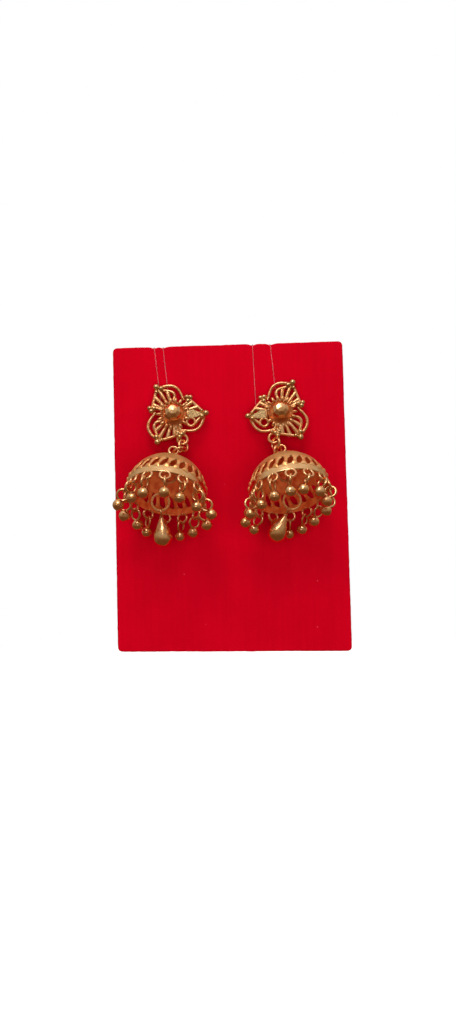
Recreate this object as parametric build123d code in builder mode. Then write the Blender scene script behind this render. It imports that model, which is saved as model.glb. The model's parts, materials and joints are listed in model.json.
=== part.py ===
from build123d import *
from collections import namedtuple
from math import cos, radians, sin
import os

# A mirror-image pair of jhumka earrings on their display card, as they hang.
# X runs right, Y into the wall behind the card, Z up. The origin is where the card hangs:
# the middle of its top edge, on its back face. Millimetres and degrees throughout.

# ---- driving dimensions -----------------------------------------------------------------
CARD_THICKNESS = 1.5
CARD_CORNER_RADIUS = 1.2
# The card is cut by hand, so its corners are not quite square: x, z from the top left.
CARD_CORNERS = ((-30.0, -0.3), (29.7, 0.3), (30.6, -80.3), (-30.3, -79.3))
POST_HOLE_RADIUS = 0.8
NEEDLE_HOLE_RADIUS = 0.3
TIE_DIP_RADIUS = 0.5

STUD_TILT = 10.0           # the studs' lower sides stand off the card
STUD_STANDOFF = 1.8        # from the card's front to the back of the stud at its centre
STUD_PLATE = 0.8
LOBES = 3
FIRST_LOBE_ANGLE = 119.5   # from +X round to the granule of the first lobe
GRANULE_REACH = 8.1
GRANULE_RADIUS = 0.8
CORNER_REACH = 5.7
CORNER_TURN = 48.0         # from a granule to the corner bead before it
SCROLL_WIRE = 0.33         # radius of the outer scroll and side wires
# The outer scroll of a lobe, from its granule round to the next lobe.
LobePoint = namedtuple("LobePoint", "turn reach")
SCROLL = (
    LobePoint(0, 8.1), LobePoint(-16, 7.6), LobePoint(-30, 7.4),
    LobePoint(-41, 6.7), LobePoint(-51, 5.8), LobePoint(-64, 4.6),
)
# The pierced fan inside a lobe, and its slots.
FAN = (
    LobePoint(48, 3.0), LobePoint(44, 5.7), LobePoint(8, 7.6), LobePoint(-6, 7.0),
    LobePoint(-22, 6.0), LobePoint(-34, 4.7), LobePoint(-38, 3.0),
)
FanSlot = namedtuple("FanSlot", "turn reach length width")
FAN_SLOTS = (
    FanSlot(25, 4.8, 1.3, 0.6), FanSlot(8, 5.8, 1.6, 0.6),
    FanSlot(-8.5, 5.6, 1.4, 0.6), FanSlot(-23.5, 4.9, 1.1, 0.6),
)
BOSS_RADIUS = 2.15
BOSS_CENTRE_HEIGHT = 1.9
COLLAR_RADIUS = 3.4
PETALS = 16
PETAL_REACH = 3.6
PETAL_RADIUS = 0.42
EYE_REACH = 7.1
EYE_RADIUS = 1.25
EYE_WIRE = 0.3
POST_RADIUS = 0.45
POST_LENGTH = 9.0
NUT_RADIUS = 2.3
NUT_LENGTH = 2.5
NUT_BORE_RADIUS = 0.5
NUT_ROUNDING = 0.4
NUT_GAP = 0.15

DOME_RADIUS = 10.2
DOME_WALL = 0.6
DOME_PITCH = 31.5          # crown toward the card, mouth down and toward the viewer
DOME_GAP = 0.2             # from the dome's back to the card
WINDOWS = 26
WINDOW_LATITUDE = 18.6
WINDOW_LENGTH = 3.2
WINDOW_WIDTH = 1.2
WINDOW_SLANT = 15.0
CROWN_STEM_RADIUS = 0.9
CROWN_LOOP_REACH = 13.1
CROWN_LOOP_RADIUS = 1.2
CROWN_LOOP_WIRE = 0.3
INNER_LOOP_REACH = 8.7
INNER_LOOP_RADIUS = 1.0
LINK_RADIUS = 1.5
LINK_WIRE = 0.25

DROPS = 14
RIM_RING_RADIUS = 1.25
RIM_RING_WIRE = 0.29
RIM_RING_FLARE = 10.0
RIM_RING_SINK = 0.05       # how far each rim ring's top sits above the rim's edge
DROP_LOOP_RADIUS = 1.4
DROP_LOOP_WIRE = 0.26
BALL_RADIUS = 1.45
SEAT_GAP = 0.06            # between two linked wires
SOLDER = 0.15              # how far soldered pieces run into each other

INNER_LINK_RADII = (2.15, 2.15, 2.2)
INNER_LINK_WIRE = 0.29
TEAR_EYE_RADIUS = 1.1
TEAR_EYE_WIRE = 0.25
TEAR_LENGTH = 7.9
TEAR_RADIUS = 2.4
TEAR_NECK_RADIUS = 0.5

TIE_RADIUS = 0.15
TIE_LIFT = 0.22            # from the card's faces to the thread's centre

# How each ball drop hangs, in order round the rim from the front: swung toward +X (lean)
# and toward the viewer (pitch), pushed about by its neighbours.
Swing = namedtuple("Swing", "lean pitch")
LEFT_SWINGS = (
    Swing(-2, 20), Swing(-15, 0), Swing(-8, 0), Swing(27, 12), Swing(12, 8),
    Swing(-8, 0), Swing(-5, 0), Swing(0, -12), Swing(-8, 0), Swing(9, 0),
    Swing(-6, 0), Swing(-25, 0), Swing(4, 0), Swing(-8, 10),
)
RIGHT_SWINGS = (
    Swing(-2, 0), Swing(-21, 8), Swing(-20, 30), Swing(-24, 18), Swing(-24, 25),
    Swing(-25, 0), Swing(-15, 0), Swing(-2, -12), Swing(4, -14), Swing(-25, 8),
    Swing(-30, 0), Swing(-4, 20), Swing(14, 0), Swing(8, 0),
)
# Two slack jump rings join each stud to its dome.
Ring = namedtuple("Ring", "centre normal")
LEFT_LINKS = (
    Ring((-12.02, -5.44, -26.31), (0.74, -0.62, 0.24)),
    Ring((-13.10, -5.84, -27.41), (0.27, -0.28, -0.92)),
)
RIGHT_LINKS = (
    Ring((11.67, -5.70, -26.24), (-0.82, -0.56, 0.12)),
    Ring((12.17, -5.58, -28.17), (0.78, -0.62, -0.07)),
)
# Where each strand of thread crosses the card's top edge and goes through to the back.
Strand = namedtuple("Strand", "top_x foot_x foot_z")
LEFT_STRANDS = (Strand(-19.2, -17.6, -16.2), Strand(-16.9, -15.6, -15.0))
RIGHT_STRANDS = (Strand(6.3, 6.9, -16.4), Strand(10.9, 12.3, -14.8))

Side = namedtuple(
    "Side",
    "name hand spin stud_x stud_z eye_angle dome_x dome_z dome_lean first_drop "
    "links swings chain_lean chain_pitch tear_lean strands",
)
SIDES = (
    Side("left", 1, 0.0, -14.5, -18.1, 288.6, -16.4, -38.5, 9.5, -2.0,
         LEFT_LINKS, LEFT_SWINGS, -17.5, 6.0, 3.0, LEFT_STRANDS),
    Side("right", -1, 187.0, 13.1, -18.1, 254.6, 14.6, -38.65, -8.5, 3.0,
         RIGHT_LINKS, RIGHT_SWINGS, 11.5, 6.0, -26.0, RIGHT_STRANDS),
)

# ---- derived places ---------------------------------------------------------------------
CARD_FRONT = -CARD_THICKNESS
STUD_Y = CARD_FRONT - STUD_STANDOFF
DOME_Y = CARD_FRONT - DOME_GAP - DOME_RADIUS
RIM_REACH = DOME_RADIUS - DOME_WALL / 2


def polar(reach, angle):
    """The point at this distance and angle from the local origin."""
    return (reach * cos(radians(angle)), reach * sin(radians(angle)))


def on(plane, x, y, z):
    """The point at these coordinates of a plane."""
    return plane.from_local_coords(Vector(x, y, z))


def aim(lean, pitch):
    """The downward direction swung toward +X by lean and toward the viewer by pitch."""
    across, out = radians(lean), radians(pitch)
    return Vector(sin(across) * cos(out), -sin(out), -cos(across) * cos(out))


def turned(side, turn):
    """A pattern angle on this side's stud: the right stud is the left one's mirror image."""
    return side.spin + side.hand * turn


def lobe_angle(side, lobe, turn):
    """The angle on the stud at this turn from the granule of a lobe."""
    return turned(side, FIRST_LOBE_ANGLE + 360 / LOBES * lobe + turn)


def stud_plane(side):
    """The back of the stud's plate, its normal toward the viewer and a little up."""
    tilt = radians(STUD_TILT)
    return Plane((side.stud_x, STUD_Y, side.stud_z), x_dir=(1, 0, 0), z_dir=(0, -cos(tilt), sin(tilt)))


def dome_plane(side):
    """The plane of the dome's rim, its normal toward the crown."""
    lean, pitch = radians(side.dome_lean), radians(DOME_PITCH)
    crown = (cos(pitch) * sin(lean), sin(pitch), cos(pitch) * cos(lean))
    across = (cos(lean), 0, -sin(lean))
    return Plane((side.dome_x, DOME_Y, side.dome_z), x_dir=across, z_dir=crown)


def hang(ring, radius, wire, direction, next_radius, next_wire):
    """The plane of a ring that hangs through another one, pulled in a direction."""
    within = direction - ring.z_dir * direction.dot(ring.z_dir)
    low = ring.origin + within.normalized() * radius
    reach = next_radius - wire - next_wire - SEAT_GAP
    tangent = ring.z_dir.cross(direction)
    return Plane(low + direction * reach, x_dir=direction, z_dir=tangent)


def rim_ring(side, index):
    """The plane of a rim ring: it hangs from the rim and flares out a little."""
    dome, flare = dome_plane(side), radians(RIM_RING_FLARE)
    azimuth = radians(side.first_drop + 360 / DROPS * index)
    outward = dome.x_dir * sin(azimuth) - dome.y_dir * cos(azimuth)
    along = dome.x_dir * cos(azimuth) + dome.y_dir * sin(azimuth)
    drop = outward * sin(flare) - dome.z_dir * cos(flare)
    centre = dome.origin + outward * RIM_REACH + drop * (RIM_RING_RADIUS - RIM_RING_SINK)
    return Plane(centre, x_dir=along, z_dir=along.cross(drop))


def window_plane(dome, index):
    """The tangent plane of one slanted window of the dome, y toward the crown."""
    azimuth, latitude = 360 / WINDOWS * index, radians(WINDOW_LATITUDE)
    x, y = polar(cos(latitude), azimuth)
    outward = dome.x_dir * x + dome.y_dir * y + dome.z_dir * sin(latitude)
    along = dome.x_dir * -sin(radians(azimuth)) + dome.y_dir * cos(radians(azimuth))
    return Plane(dome.origin + outward * DOME_RADIUS, x_dir=along, z_dir=outward)


def finish(piece, label):
    """Name a finished piece and write it out."""
    piece.part.label = label
    export_step(piece.part, f"parts/{label}.step")


os.makedirs("parts", exist_ok=True)

# ---- display card -----------------------------------------------------------------------
# The tilted posts cross the card's middle a little below the studs' centres.
POST_FALL = (STUD_STANDOFF + CARD_THICKNESS / 2) * sin(radians(STUD_TILT)) / cos(radians(STUD_TILT))

with BuildPart() as card:
    with BuildSketch(Plane.XZ):
        with BuildLine():
            Polyline(*CARD_CORNERS, close=True)
        make_face()
        fillet(vertices(), radius=CARD_CORNER_RADIUS)
        with Locations(*[(side.stud_x, side.stud_z - POST_FALL) for side in SIDES]):
            Circle(POST_HOLE_RADIUS, mode=Mode.SUBTRACT)
        for side in SIDES:
            with Locations(*[(strand.foot_x, strand.foot_z) for strand in side.strands]):
                Circle(NEEDLE_HOLE_RADIUS, mode=Mode.SUBTRACT)
            with Locations(*[(strand.top_x, 0) for strand in side.strands]):
                Circle(TIE_DIP_RADIUS, mode=Mode.SUBTRACT)
    extrude(amount=CARD_THICKNESS)
finish(card, "card")

for side in SIDES:
    plate = stud_plane(side)
    rim = dome_plane(side)

    # ---- stud: a pierced three-lobed flower with its boss, beads, eye and post ----------
    with BuildPart() as stud:
        with BuildSketch(plate):
            Circle(COLLAR_RADIUS)
            for lobe in range(LOBES):
                with BuildLine():
                    Polyline(*[polar(p.reach, lobe_angle(side, lobe, p.turn)) for p in FAN], close=True)
                make_face()
                for slot in FAN_SLOTS:
                    angle = lobe_angle(side, lobe, slot.turn)
                    with Locations(polar(slot.reach, angle)):
                        SlotOverall(slot.length, slot.width, rotation=angle, mode=Mode.SUBTRACT)
        extrude(amount=STUD_PLATE)
        for lobe in range(LOBES):
            granule = polar(GRANULE_REACH, lobe_angle(side, lobe, 0))
            corner = polar(CORNER_REACH, lobe_angle(side, lobe, CORNER_TURN))
            scroll = [polar(p.reach, lobe_angle(side, lobe, p.turn)) for p in SCROLL]
            with Locations(*[on(plate, *bead, STUD_PLATE) for bead in (granule, corner)]):
                Sphere(GRANULE_RADIUS)
            with BuildLine() as scroll_line:
                Spline(*[on(plate, *point, STUD_PLATE / 2) for point in scroll])
            with BuildLine() as side_line:
                Line(on(plate, *granule, STUD_PLATE / 2), on(plate, *corner, STUD_PLATE / 2))
            for wire in (scroll_line.line, side_line.line):
                with BuildSketch(Plane(wire @ 0, z_dir=wire % 0)):
                    Circle(SCROLL_WIRE)
                sweep(path=wire)
        with Locations(on(plate, 0, 0, BOSS_CENTRE_HEIGHT)):
            Sphere(BOSS_RADIUS)
        petals = [polar(PETAL_REACH, 360 / PETALS * petal) for petal in range(PETALS)]
        with Locations(*[on(plate, *petal, STUD_PLATE) for petal in petals]):
            Sphere(PETAL_RADIUS)
        eye_centre = on(plate, *polar(EYE_REACH, side.eye_angle), STUD_PLATE / 2)
        with Locations(Plane(eye_centre, z_dir=plate.z_dir).location):
            Torus(EYE_RADIUS, EYE_WIRE)
        with Locations(plate.offset(STUD_PLATE / 2).location):
            Cylinder(POST_RADIUS, POST_LENGTH + STUD_PLATE / 2, align=(Align.CENTER, Align.CENTER, Align.MAX))
    finish(stud, f"{side.name}_stud")

    # ---- push nut on the post, behind the card ------------------------------------------
    tilt = radians(STUD_TILT)
    nut_depth = (STUD_STANDOFF + CARD_THICKNESS + NUT_GAP + NUT_RADIUS * sin(tilt)) / cos(tilt)
    with BuildPart(plate.offset(-nut_depth)) as nut:
        Cylinder(NUT_RADIUS, NUT_LENGTH, align=(Align.CENTER, Align.CENTER, Align.MAX))
        fillet(edges(), radius=NUT_ROUNDING)
        Hole(NUT_BORE_RADIUS)
    finish(nut, f"{side.name}_back_nut")

    # ---- jump rings from the stud's eye to the dome's crown loop ------------------------
    for number, link in enumerate(side.links, start=1):
        with BuildPart(Plane(link.centre, z_dir=link.normal)) as jump_ring:
            Torus(LINK_RADIUS, LINK_WIRE)
        finish(jump_ring, f"{side.name}_link_{number}")

    # ---- dome: a pierced half-sphere with its loops and rim rings, soldered in one ------
    with BuildPart() as dome:
        with BuildSketch(Plane(rim.origin, x_dir=rim.x_dir, z_dir=-rim.y_dir)) as profile:
            with BuildLine():
                CenterArc((0, 0), DOME_RADIUS, 0, 90)
                CenterArc((0, 0), DOME_RADIUS - DOME_WALL, 0, 90)
                Line((DOME_RADIUS - DOME_WALL, 0), (DOME_RADIUS, 0))
                Line((0, DOME_RADIUS - DOME_WALL), (0, DOME_RADIUS))
            make_face()
        revolve(axis=Axis(rim.origin, rim.z_dir))
        with BuildSketch(*[window_plane(rim, index) for index in range(WINDOWS)]):
            SlotOverall(WINDOW_LENGTH, WINDOW_WIDTH, rotation=90 - WINDOW_SLANT)
        extrude(amount=2 * DOME_WALL, both=True, mode=Mode.SUBTRACT)
        with Locations(rim.offset(DOME_RADIUS - DOME_WALL / 2).location):
            stem = CROWN_LOOP_REACH - CROWN_LOOP_RADIUS - SOLDER - DOME_RADIUS + DOME_WALL / 2
            Cylinder(CROWN_STEM_RADIUS, stem, align=(Align.CENTER, Align.CENTER, Align.MIN))
        crown_loop = Plane(rim.origin + rim.z_dir * CROWN_LOOP_REACH, x_dir=rim.x_dir, z_dir=rim.y_dir)
        inner_loop = Plane(rim.origin + rim.z_dir * INNER_LOOP_REACH, x_dir=rim.y_dir, z_dir=rim.x_dir)
        with Locations(crown_loop.location):
            Torus(CROWN_LOOP_RADIUS, CROWN_LOOP_WIRE)
        with Locations(inner_loop.location):
            Torus(INNER_LOOP_RADIUS, INNER_LINK_WIRE)
        with Locations(*[rim_ring(side, index).location for index in range(DROPS)]):
            Torus(RIM_RING_RADIUS, RIM_RING_WIRE)
    finish(dome, f"{side.name}_dome")

    # ---- ball drops, one on each rim ring, each a ball with its loop --------------------
    for index, swing in enumerate(side.swings):
        direction = aim(swing.lean, swing.pitch)
        loop = hang(rim_ring(side, index), RIM_RING_RADIUS, RIM_RING_WIRE,
                    direction, DROP_LOOP_RADIUS, DROP_LOOP_WIRE)
        with BuildPart(loop) as drop:
            Torus(DROP_LOOP_RADIUS, DROP_LOOP_WIRE)
            with Locations((DROP_LOOP_RADIUS + BALL_RADIUS - SOLDER, 0, 0)):
                Sphere(BALL_RADIUS)
        finish(drop, f"{side.name}_drop_{index + 1:02d}")

    # ---- chain of rings inside the dome, and the teardrop it carries --------------------
    pull = aim(side.chain_lean, side.chain_pitch)
    held, held_radius = inner_loop, INNER_LOOP_RADIUS
    for number, radius in enumerate(INNER_LINK_RADII, start=1):
        held = hang(held, held_radius, INNER_LINK_WIRE, pull, radius, INNER_LINK_WIRE)
        held_radius = radius
        with BuildPart(held) as inner_link:
            Torus(radius, INNER_LINK_WIRE)
        finish(inner_link, f"{side.name}_inner_link_{number}")

    down = aim(side.tear_lean, 0)
    eye = hang(held, held_radius, INNER_LINK_WIRE, down, TEAR_EYE_RADIUS, TEAR_EYE_WIRE)
    with BuildPart() as teardrop:
        with Locations(eye.location):
            Torus(TEAR_EYE_RADIUS, TEAR_EYE_WIRE)
        top = TEAR_EYE_RADIUS - SOLDER
        belly = top + TEAR_LENGTH - TEAR_RADIUS
        with BuildSketch(eye):
            with BuildLine():
                Line((top, 0), (top, TEAR_NECK_RADIUS))
                Spline((top, TEAR_NECK_RADIUS), (belly, TEAR_RADIUS), tangents=((1, 0.7), (1, 0)))
                CenterArc((belly, 0), TEAR_RADIUS, 90, -90)
                Line((belly + TEAR_RADIUS, 0), (top, 0))
            make_face()
        revolve(axis=Axis(eye.origin, eye.x_dir))
    finish(teardrop, f"{side.name}_teardrop")

    # ---- tie thread: over the top edge, down the front and through to the post ----------
    front, back = CARD_FRONT - TIE_LIFT, TIE_LIFT
    route = []
    for strand, order in zip(side.strands, (1, -1)):
        route += [
            (strand.top_x, back, TIE_LIFT), (strand.top_x, front, TIE_LIFT),
            (strand.foot_x, front, strand.foot_z), (strand.foot_x, back, strand.foot_z),
        ][::order]
    with BuildPart() as tie:
        with BuildLine() as tie_line:
            Polyline(*route, close=True)
        with BuildSketch(Plane(tie_line.line @ 0, z_dir=tie_line.line % 0)):
            Circle(TIE_RADIUS)
        sweep(path=tie_line.line, transition=Transition.ROUND)
    finish(tie, f"{side.name}_tie_thread")
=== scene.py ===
"""A mirror-image pair of gilt jhumka earrings tied to a red velvet display card.

The card hangs on a wall: X runs right, Y into the wall, Z up. Every size here is in
millimetres and every angle in degrees; a piece becomes metres as it leaves the bench.
"""

import json
import logging
import math
from dataclasses import dataclass, field
from enum import Enum, IntEnum
from typing import Sequence

import bmesh
import bpy
import numpy as np
from bmesh.types import BMEdge, BMesh, BMVert
from mathutils import Matrix, Vector, noise

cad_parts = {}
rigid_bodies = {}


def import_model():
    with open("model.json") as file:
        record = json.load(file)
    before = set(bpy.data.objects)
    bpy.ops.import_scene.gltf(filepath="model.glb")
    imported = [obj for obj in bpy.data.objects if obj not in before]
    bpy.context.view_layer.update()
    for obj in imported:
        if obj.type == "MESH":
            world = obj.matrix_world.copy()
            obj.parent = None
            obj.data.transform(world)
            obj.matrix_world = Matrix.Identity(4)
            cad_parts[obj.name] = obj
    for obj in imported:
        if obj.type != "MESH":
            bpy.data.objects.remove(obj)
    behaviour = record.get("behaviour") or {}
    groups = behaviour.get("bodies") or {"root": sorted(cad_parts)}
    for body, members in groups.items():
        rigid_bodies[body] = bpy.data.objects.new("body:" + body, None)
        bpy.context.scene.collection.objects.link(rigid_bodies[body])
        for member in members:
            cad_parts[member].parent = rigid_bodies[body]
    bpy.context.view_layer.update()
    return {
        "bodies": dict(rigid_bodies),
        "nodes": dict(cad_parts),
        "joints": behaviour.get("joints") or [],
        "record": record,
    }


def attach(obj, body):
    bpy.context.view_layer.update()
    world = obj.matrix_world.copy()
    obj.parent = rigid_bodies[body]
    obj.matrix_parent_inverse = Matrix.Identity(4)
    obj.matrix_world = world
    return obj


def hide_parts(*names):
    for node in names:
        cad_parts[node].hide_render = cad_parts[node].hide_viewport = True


log = logging.getLogger("jhumka")

MM = 0.001
FULL_TURN = 2 * math.pi
WELD = 1e-4  # millimetres within which two vertices are one
X_AXIS = Vector((1, 0, 0))
Y_AXIS = Vector((0, 1, 0))
Z_AXIS = Vector((0, 0, 1))
BENCH = Matrix.Identity(4)  # the frame that a flower or a dome is built in
SAWN_GAP = 0.05  # half the gap between a jump ring's ends
Path = Sequence[Vector]
Profile = Sequence[tuple[float, float]]


class Slot(Enum):
    """The record's material slots."""

    GILT = "gilt"
    CARD = "card_board"
    NYLON = "nylon"


class Hand(Enum):
    """Which earring of the pair: the sign turns its patterns the other way round."""

    LEFT = 1
    RIGHT = -1

    @property
    def label(self) -> str:
        """The name that this earring's pieces start with."""
        return self.name.lower()


class FlowerFace(IntEnum):
    """Which of the flower's finishes a face has."""

    CAST = 0
    # faces that take the darker gilt, which is painted shade
    BURNISHED = 1


class DomeFace(IntEnum):
    """Which of the dome's finishes a face has."""

    BELOW = 0
    INSIDE = 1
    CAP = 2


# ---- places and paths ---------------------------------------------------------------------


def placed(origin: Vector, x_axis: Vector, z_axis: Vector) -> Matrix:
    """A frame at a point.

    Args:
        origin: Where the frame sits.
        x_axis: The direction its X is nearest to.
        z_axis: The direction of its Z.

    Returns:
        The frame as a 4x4 matrix.
    """
    z = Vector(z_axis).normalized()
    x = Vector(x_axis)
    x = (x - z * x.dot(z)).normalized()
    frame = Matrix((x, z.cross(x), z)).transposed().to_4x4()
    frame.translation = origin
    return frame


def polar(reach: float, angle: float, height: float = 0.0) -> Vector:
    """The point at a distance and angle from the local origin, at a height above it.

    Args:
        reach: Its distance from the origin's axis.
        angle: Its angle from X.
        height: Its height along Z.

    Returns:
        The point.
    """
    turn = math.radians(angle)
    return Vector((reach * math.cos(turn), reach * math.sin(turn), height))


def smooth_path(points: Path, steps: int) -> list[Vector]:
    """A smooth curve through some points.

    Args:
        points: The points it passes through.
        steps: How many steps it takes from one point to the next.

    Returns:
        The curve's points, the ends included.
    """
    ends = [points[0] * 2 - points[1], *points, points[-1] * 2 - points[-2]]
    path = []
    for a, b, c, d in zip(ends, ends[1:], ends[2:], ends[3:]):
        for step in range(steps):
            t = step / steps
            path.append(
                (b * 2 + (c - a) * t + (a * 2 - b * 5 + c * 4 - d) * t**2
                 + (b * 3 - a - c * 3 + d) * t**3) / 2
            )
    return [*path, points[-1].copy()]


def stations(path: Path, up: Vector) -> list[Matrix]:
    """Frames along a path, Z along it and Y as near to up as it can be.

    Args:
        path: The path's points.
        up: The direction that Y is nearest to.

    Returns:
        One frame for each point.
    """
    frames = []
    for index, point in enumerate(path):
        before, after = path[max(index - 1, 0)], path[min(index + 1, len(path) - 1)]
        along = (after - before).normalized()
        frames.append(placed(point, up.cross(along), along))
    return frames


# ---- shaping ------------------------------------------------------------------------------


def absorb(bm: BMesh, part: BMesh) -> None:
    """Add a finished part to a mesh and free it.

    Args:
        bm: The mesh to add to.
        part: The finished part.
    """
    mesh = bpy.data.meshes.new("part")
    part.to_mesh(mesh)
    part.free()
    bm.from_mesh(mesh)
    bpy.data.meshes.remove(mesh)


def run_wire(
    bm: BMesh, path: Path, widths: Sequence[float], heights: Sequence[float], up: Vector,
    sides: int = 10,
) -> None:
    """Run a wire along a path by extruding its section from station to station.

    Args:
        bm: The mesh to add it to.
        path: The wire's centre line.
        widths: Its half width at each point, across up.
        heights: Its half height at each point, along up.
        up: The direction that its height is nearest to.
        sides: How many sides its section has.
    """
    frames = [
        frame @ Matrix.Diagonal((wide, high, 1, 1))
        for frame, wide, high in zip(stations(path, up), widths, heights)
    ]
    part = bmesh.new()
    bmesh.ops.create_circle(part, segments=sides, radius=1, matrix=frames[0])
    edges = part.edges[:]
    bmesh.ops.contextual_create(part, geom=edges)
    for here, there in zip(frames, frames[1:]):
        made = bmesh.ops.extrude_edge_only(part, edges=edges)["geom"]
        moved = [item for item in made if isinstance(item, BMVert)]
        ring = set(moved)
        edges = [item for item in made if isinstance(item, BMEdge) and set(item.verts) <= ring]
        bmesh.ops.transform(part, matrix=there @ here.inverted(), verts=moved)
    bmesh.ops.contextual_create(part, geom=edges)
    absorb(bm, part)


def even_wire(
    bm: BMesh, path: Path, half: tuple[float, float], up: Vector, sides: int = 10,
) -> None:
    """Run a wire of one section along a path.

    Args:
        bm: The mesh to add it to.
        path: The wire's centre line.
        half: Its half width, across up, and its half height.
        up: The direction that its height is nearest to.
        sides: How many sides its section has.
    """
    wide, high = half
    run_wire(bm, path, [wide] * len(path), [high] * len(path), up, sides)


def round_wire(bm: BMesh, path: Path, radius: float, up: Vector, sides: int = 10) -> None:
    """Run a round wire of one thickness along a path."""
    even_wire(bm, path, (radius, radius), up, sides)


def ring(
    bm: BMesh, frame: Matrix, radius: float, wire: float, around: int = 44, sides: int = 10,
) -> None:
    """Bend a wire ring round a frame's Z by spinning its section.

    Args:
        bm: The mesh to add it to.
        frame: The ring's centre, with Z along its axis.
        radius: From the centre to the middle of the wire.
        wire: The wire's radius.
        around: Steps round the ring.
        sides: Sides of the wire.
    """
    section = frame @ Matrix.Translation((radius, 0, 0)) @ Matrix.Rotation(math.pi / 2, 4, "X")
    part = bmesh.new()
    bmesh.ops.create_circle(part, segments=sides, radius=wire, matrix=section)
    spin_round(part, frame, around)
    absorb(bm, part)


def jump_ring(
    bm: BMesh, frame: Matrix, radius: float, wire: float, cut: float, around: int = 44,
) -> None:
    """Bend a wire ring whose two sawn ends meet with a hair's gap.

    Args:
        bm: The mesh to add it to.
        frame: The ring's centre, with Z along its axis.
        radius: From the centre to the middle of the wire.
        wire: The wire's radius.
        cut: Where the ends meet, as an angle from the frame's X.
        around: Steps round the ring.
    """
    gap = math.degrees(SAWN_GAP / radius)
    turns = [cut + gap + (360 - 2 * gap) * step / around for step in range(around + 1)]
    path = [frame @ polar(radius, turn) for turn in turns]
    round_wire(bm, path, wire, frame.col[2].xyz)


def spin_round(part: BMesh, frame: Matrix, steps: int) -> None:
    """Spin everything in a part a full turn round a frame's Z.

    Args:
        part: The part, which holds one section.
        frame: The frame that it is spun in.
        steps: Steps round the axis.
    """
    bmesh.ops.spin(
        part, geom=[*part.verts, *part.edges], cent=frame.translation, axis=frame.col[2].xyz,
        angle=FULL_TURN, steps=steps, use_merge=True,
    )


def lathe(bm: BMesh, frame: Matrix, profile: Profile, steps: int = 48) -> None:
    """Turn a profile round a frame's Z.

    Args:
        bm: The mesh to add it to.
        frame: The frame that it is turned in.
        profile: Its points as distance from the axis and height along it. One that comes
            back to its first point makes a closed ring.
        steps: Steps round the axis.
    """
    closed = profile[0] == profile[-1]
    points = profile[:-1] if closed else profile
    part = bmesh.new()
    verts = [part.verts.new(frame @ Vector((reach, 0, height))) for reach, height in points]
    for pair in zip(verts, verts[1:] + verts[:1] if closed else verts[1:]):
        part.edges.new(pair)
    spin_round(part, frame, steps)
    absorb(bm, part)


def bead(
    bm: BMesh, frame: Matrix, half: tuple[float, float, float], around: int = 16, rings: int = 10,
) -> None:
    """Add a bead: a sphere stretched to half sizes along a frame's axes.

    Args:
        bm: The mesh to add it to.
        frame: The bead's middle and its axes.
        half: Its half sizes along them.
        around: Steps round its Z.
        rings: Steps from one pole to the other.
    """
    part = bmesh.new()
    bmesh.ops.create_uvsphere(
        part, u_segments=around, v_segments=rings, radius=1,
        matrix=frame @ Matrix.Diagonal((*half, 1)),
    )
    absorb(bm, part)


def granule(bm: BMesh, centre: Vector, radius: float, level: int = 2) -> None:
    """Add a small round grain of solder.

    Args:
        bm: The mesh to add it to.
        centre: Its middle.
        radius: Its radius.
        level: How finely it is divided.
    """
    part = bmesh.new()
    bmesh.ops.create_icosphere(
        part, subdivisions=level, radius=radius, matrix=Matrix.Translation(centre)
    )
    absorb(bm, part)


def dent(bm: BMesh, depth: float, size: float, seed: float) -> None:
    """Push a surface in and out a little, as hand work leaves it.

    Args:
        bm: The mesh to change.
        depth: The most that a point moves.
        size: About how far one dent is from the next.
        seed: Where in the noise this piece is taken from.
    """
    bm.normal_update()
    for vert in bm.verts:
        lift = noise.noise(vert.co / size + Vector((seed, 2 * seed, 3 * seed)))
        vert.co += vert.normal * lift * depth


def paint(bm: BMesh, index: int) -> None:
    """Give every face of a mesh one of its piece's finishes, by material index."""
    for face in bm.faces:
        face.material_index = index


def dome_arc(radius: float, low: float, high: float, steps: int) -> list[tuple[float, float]]:
    """Profile points along a sphere, from one latitude to another.

    Args:
        radius: The sphere's radius.
        low: The first point's latitude.
        high: The last point's latitude.
        steps: Steps between them.

    Returns:
        The points, each a distance from the axis and a height.
    """
    latitudes = [math.radians(low + (high - low) * step / steps) for step in range(steps + 1)]
    return [(radius * math.cos(turn), radius * math.sin(turn)) for turn in latitudes]


# ---- finishes -----------------------------------------------------------------------------

Colour = tuple[float, float, float]


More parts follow.
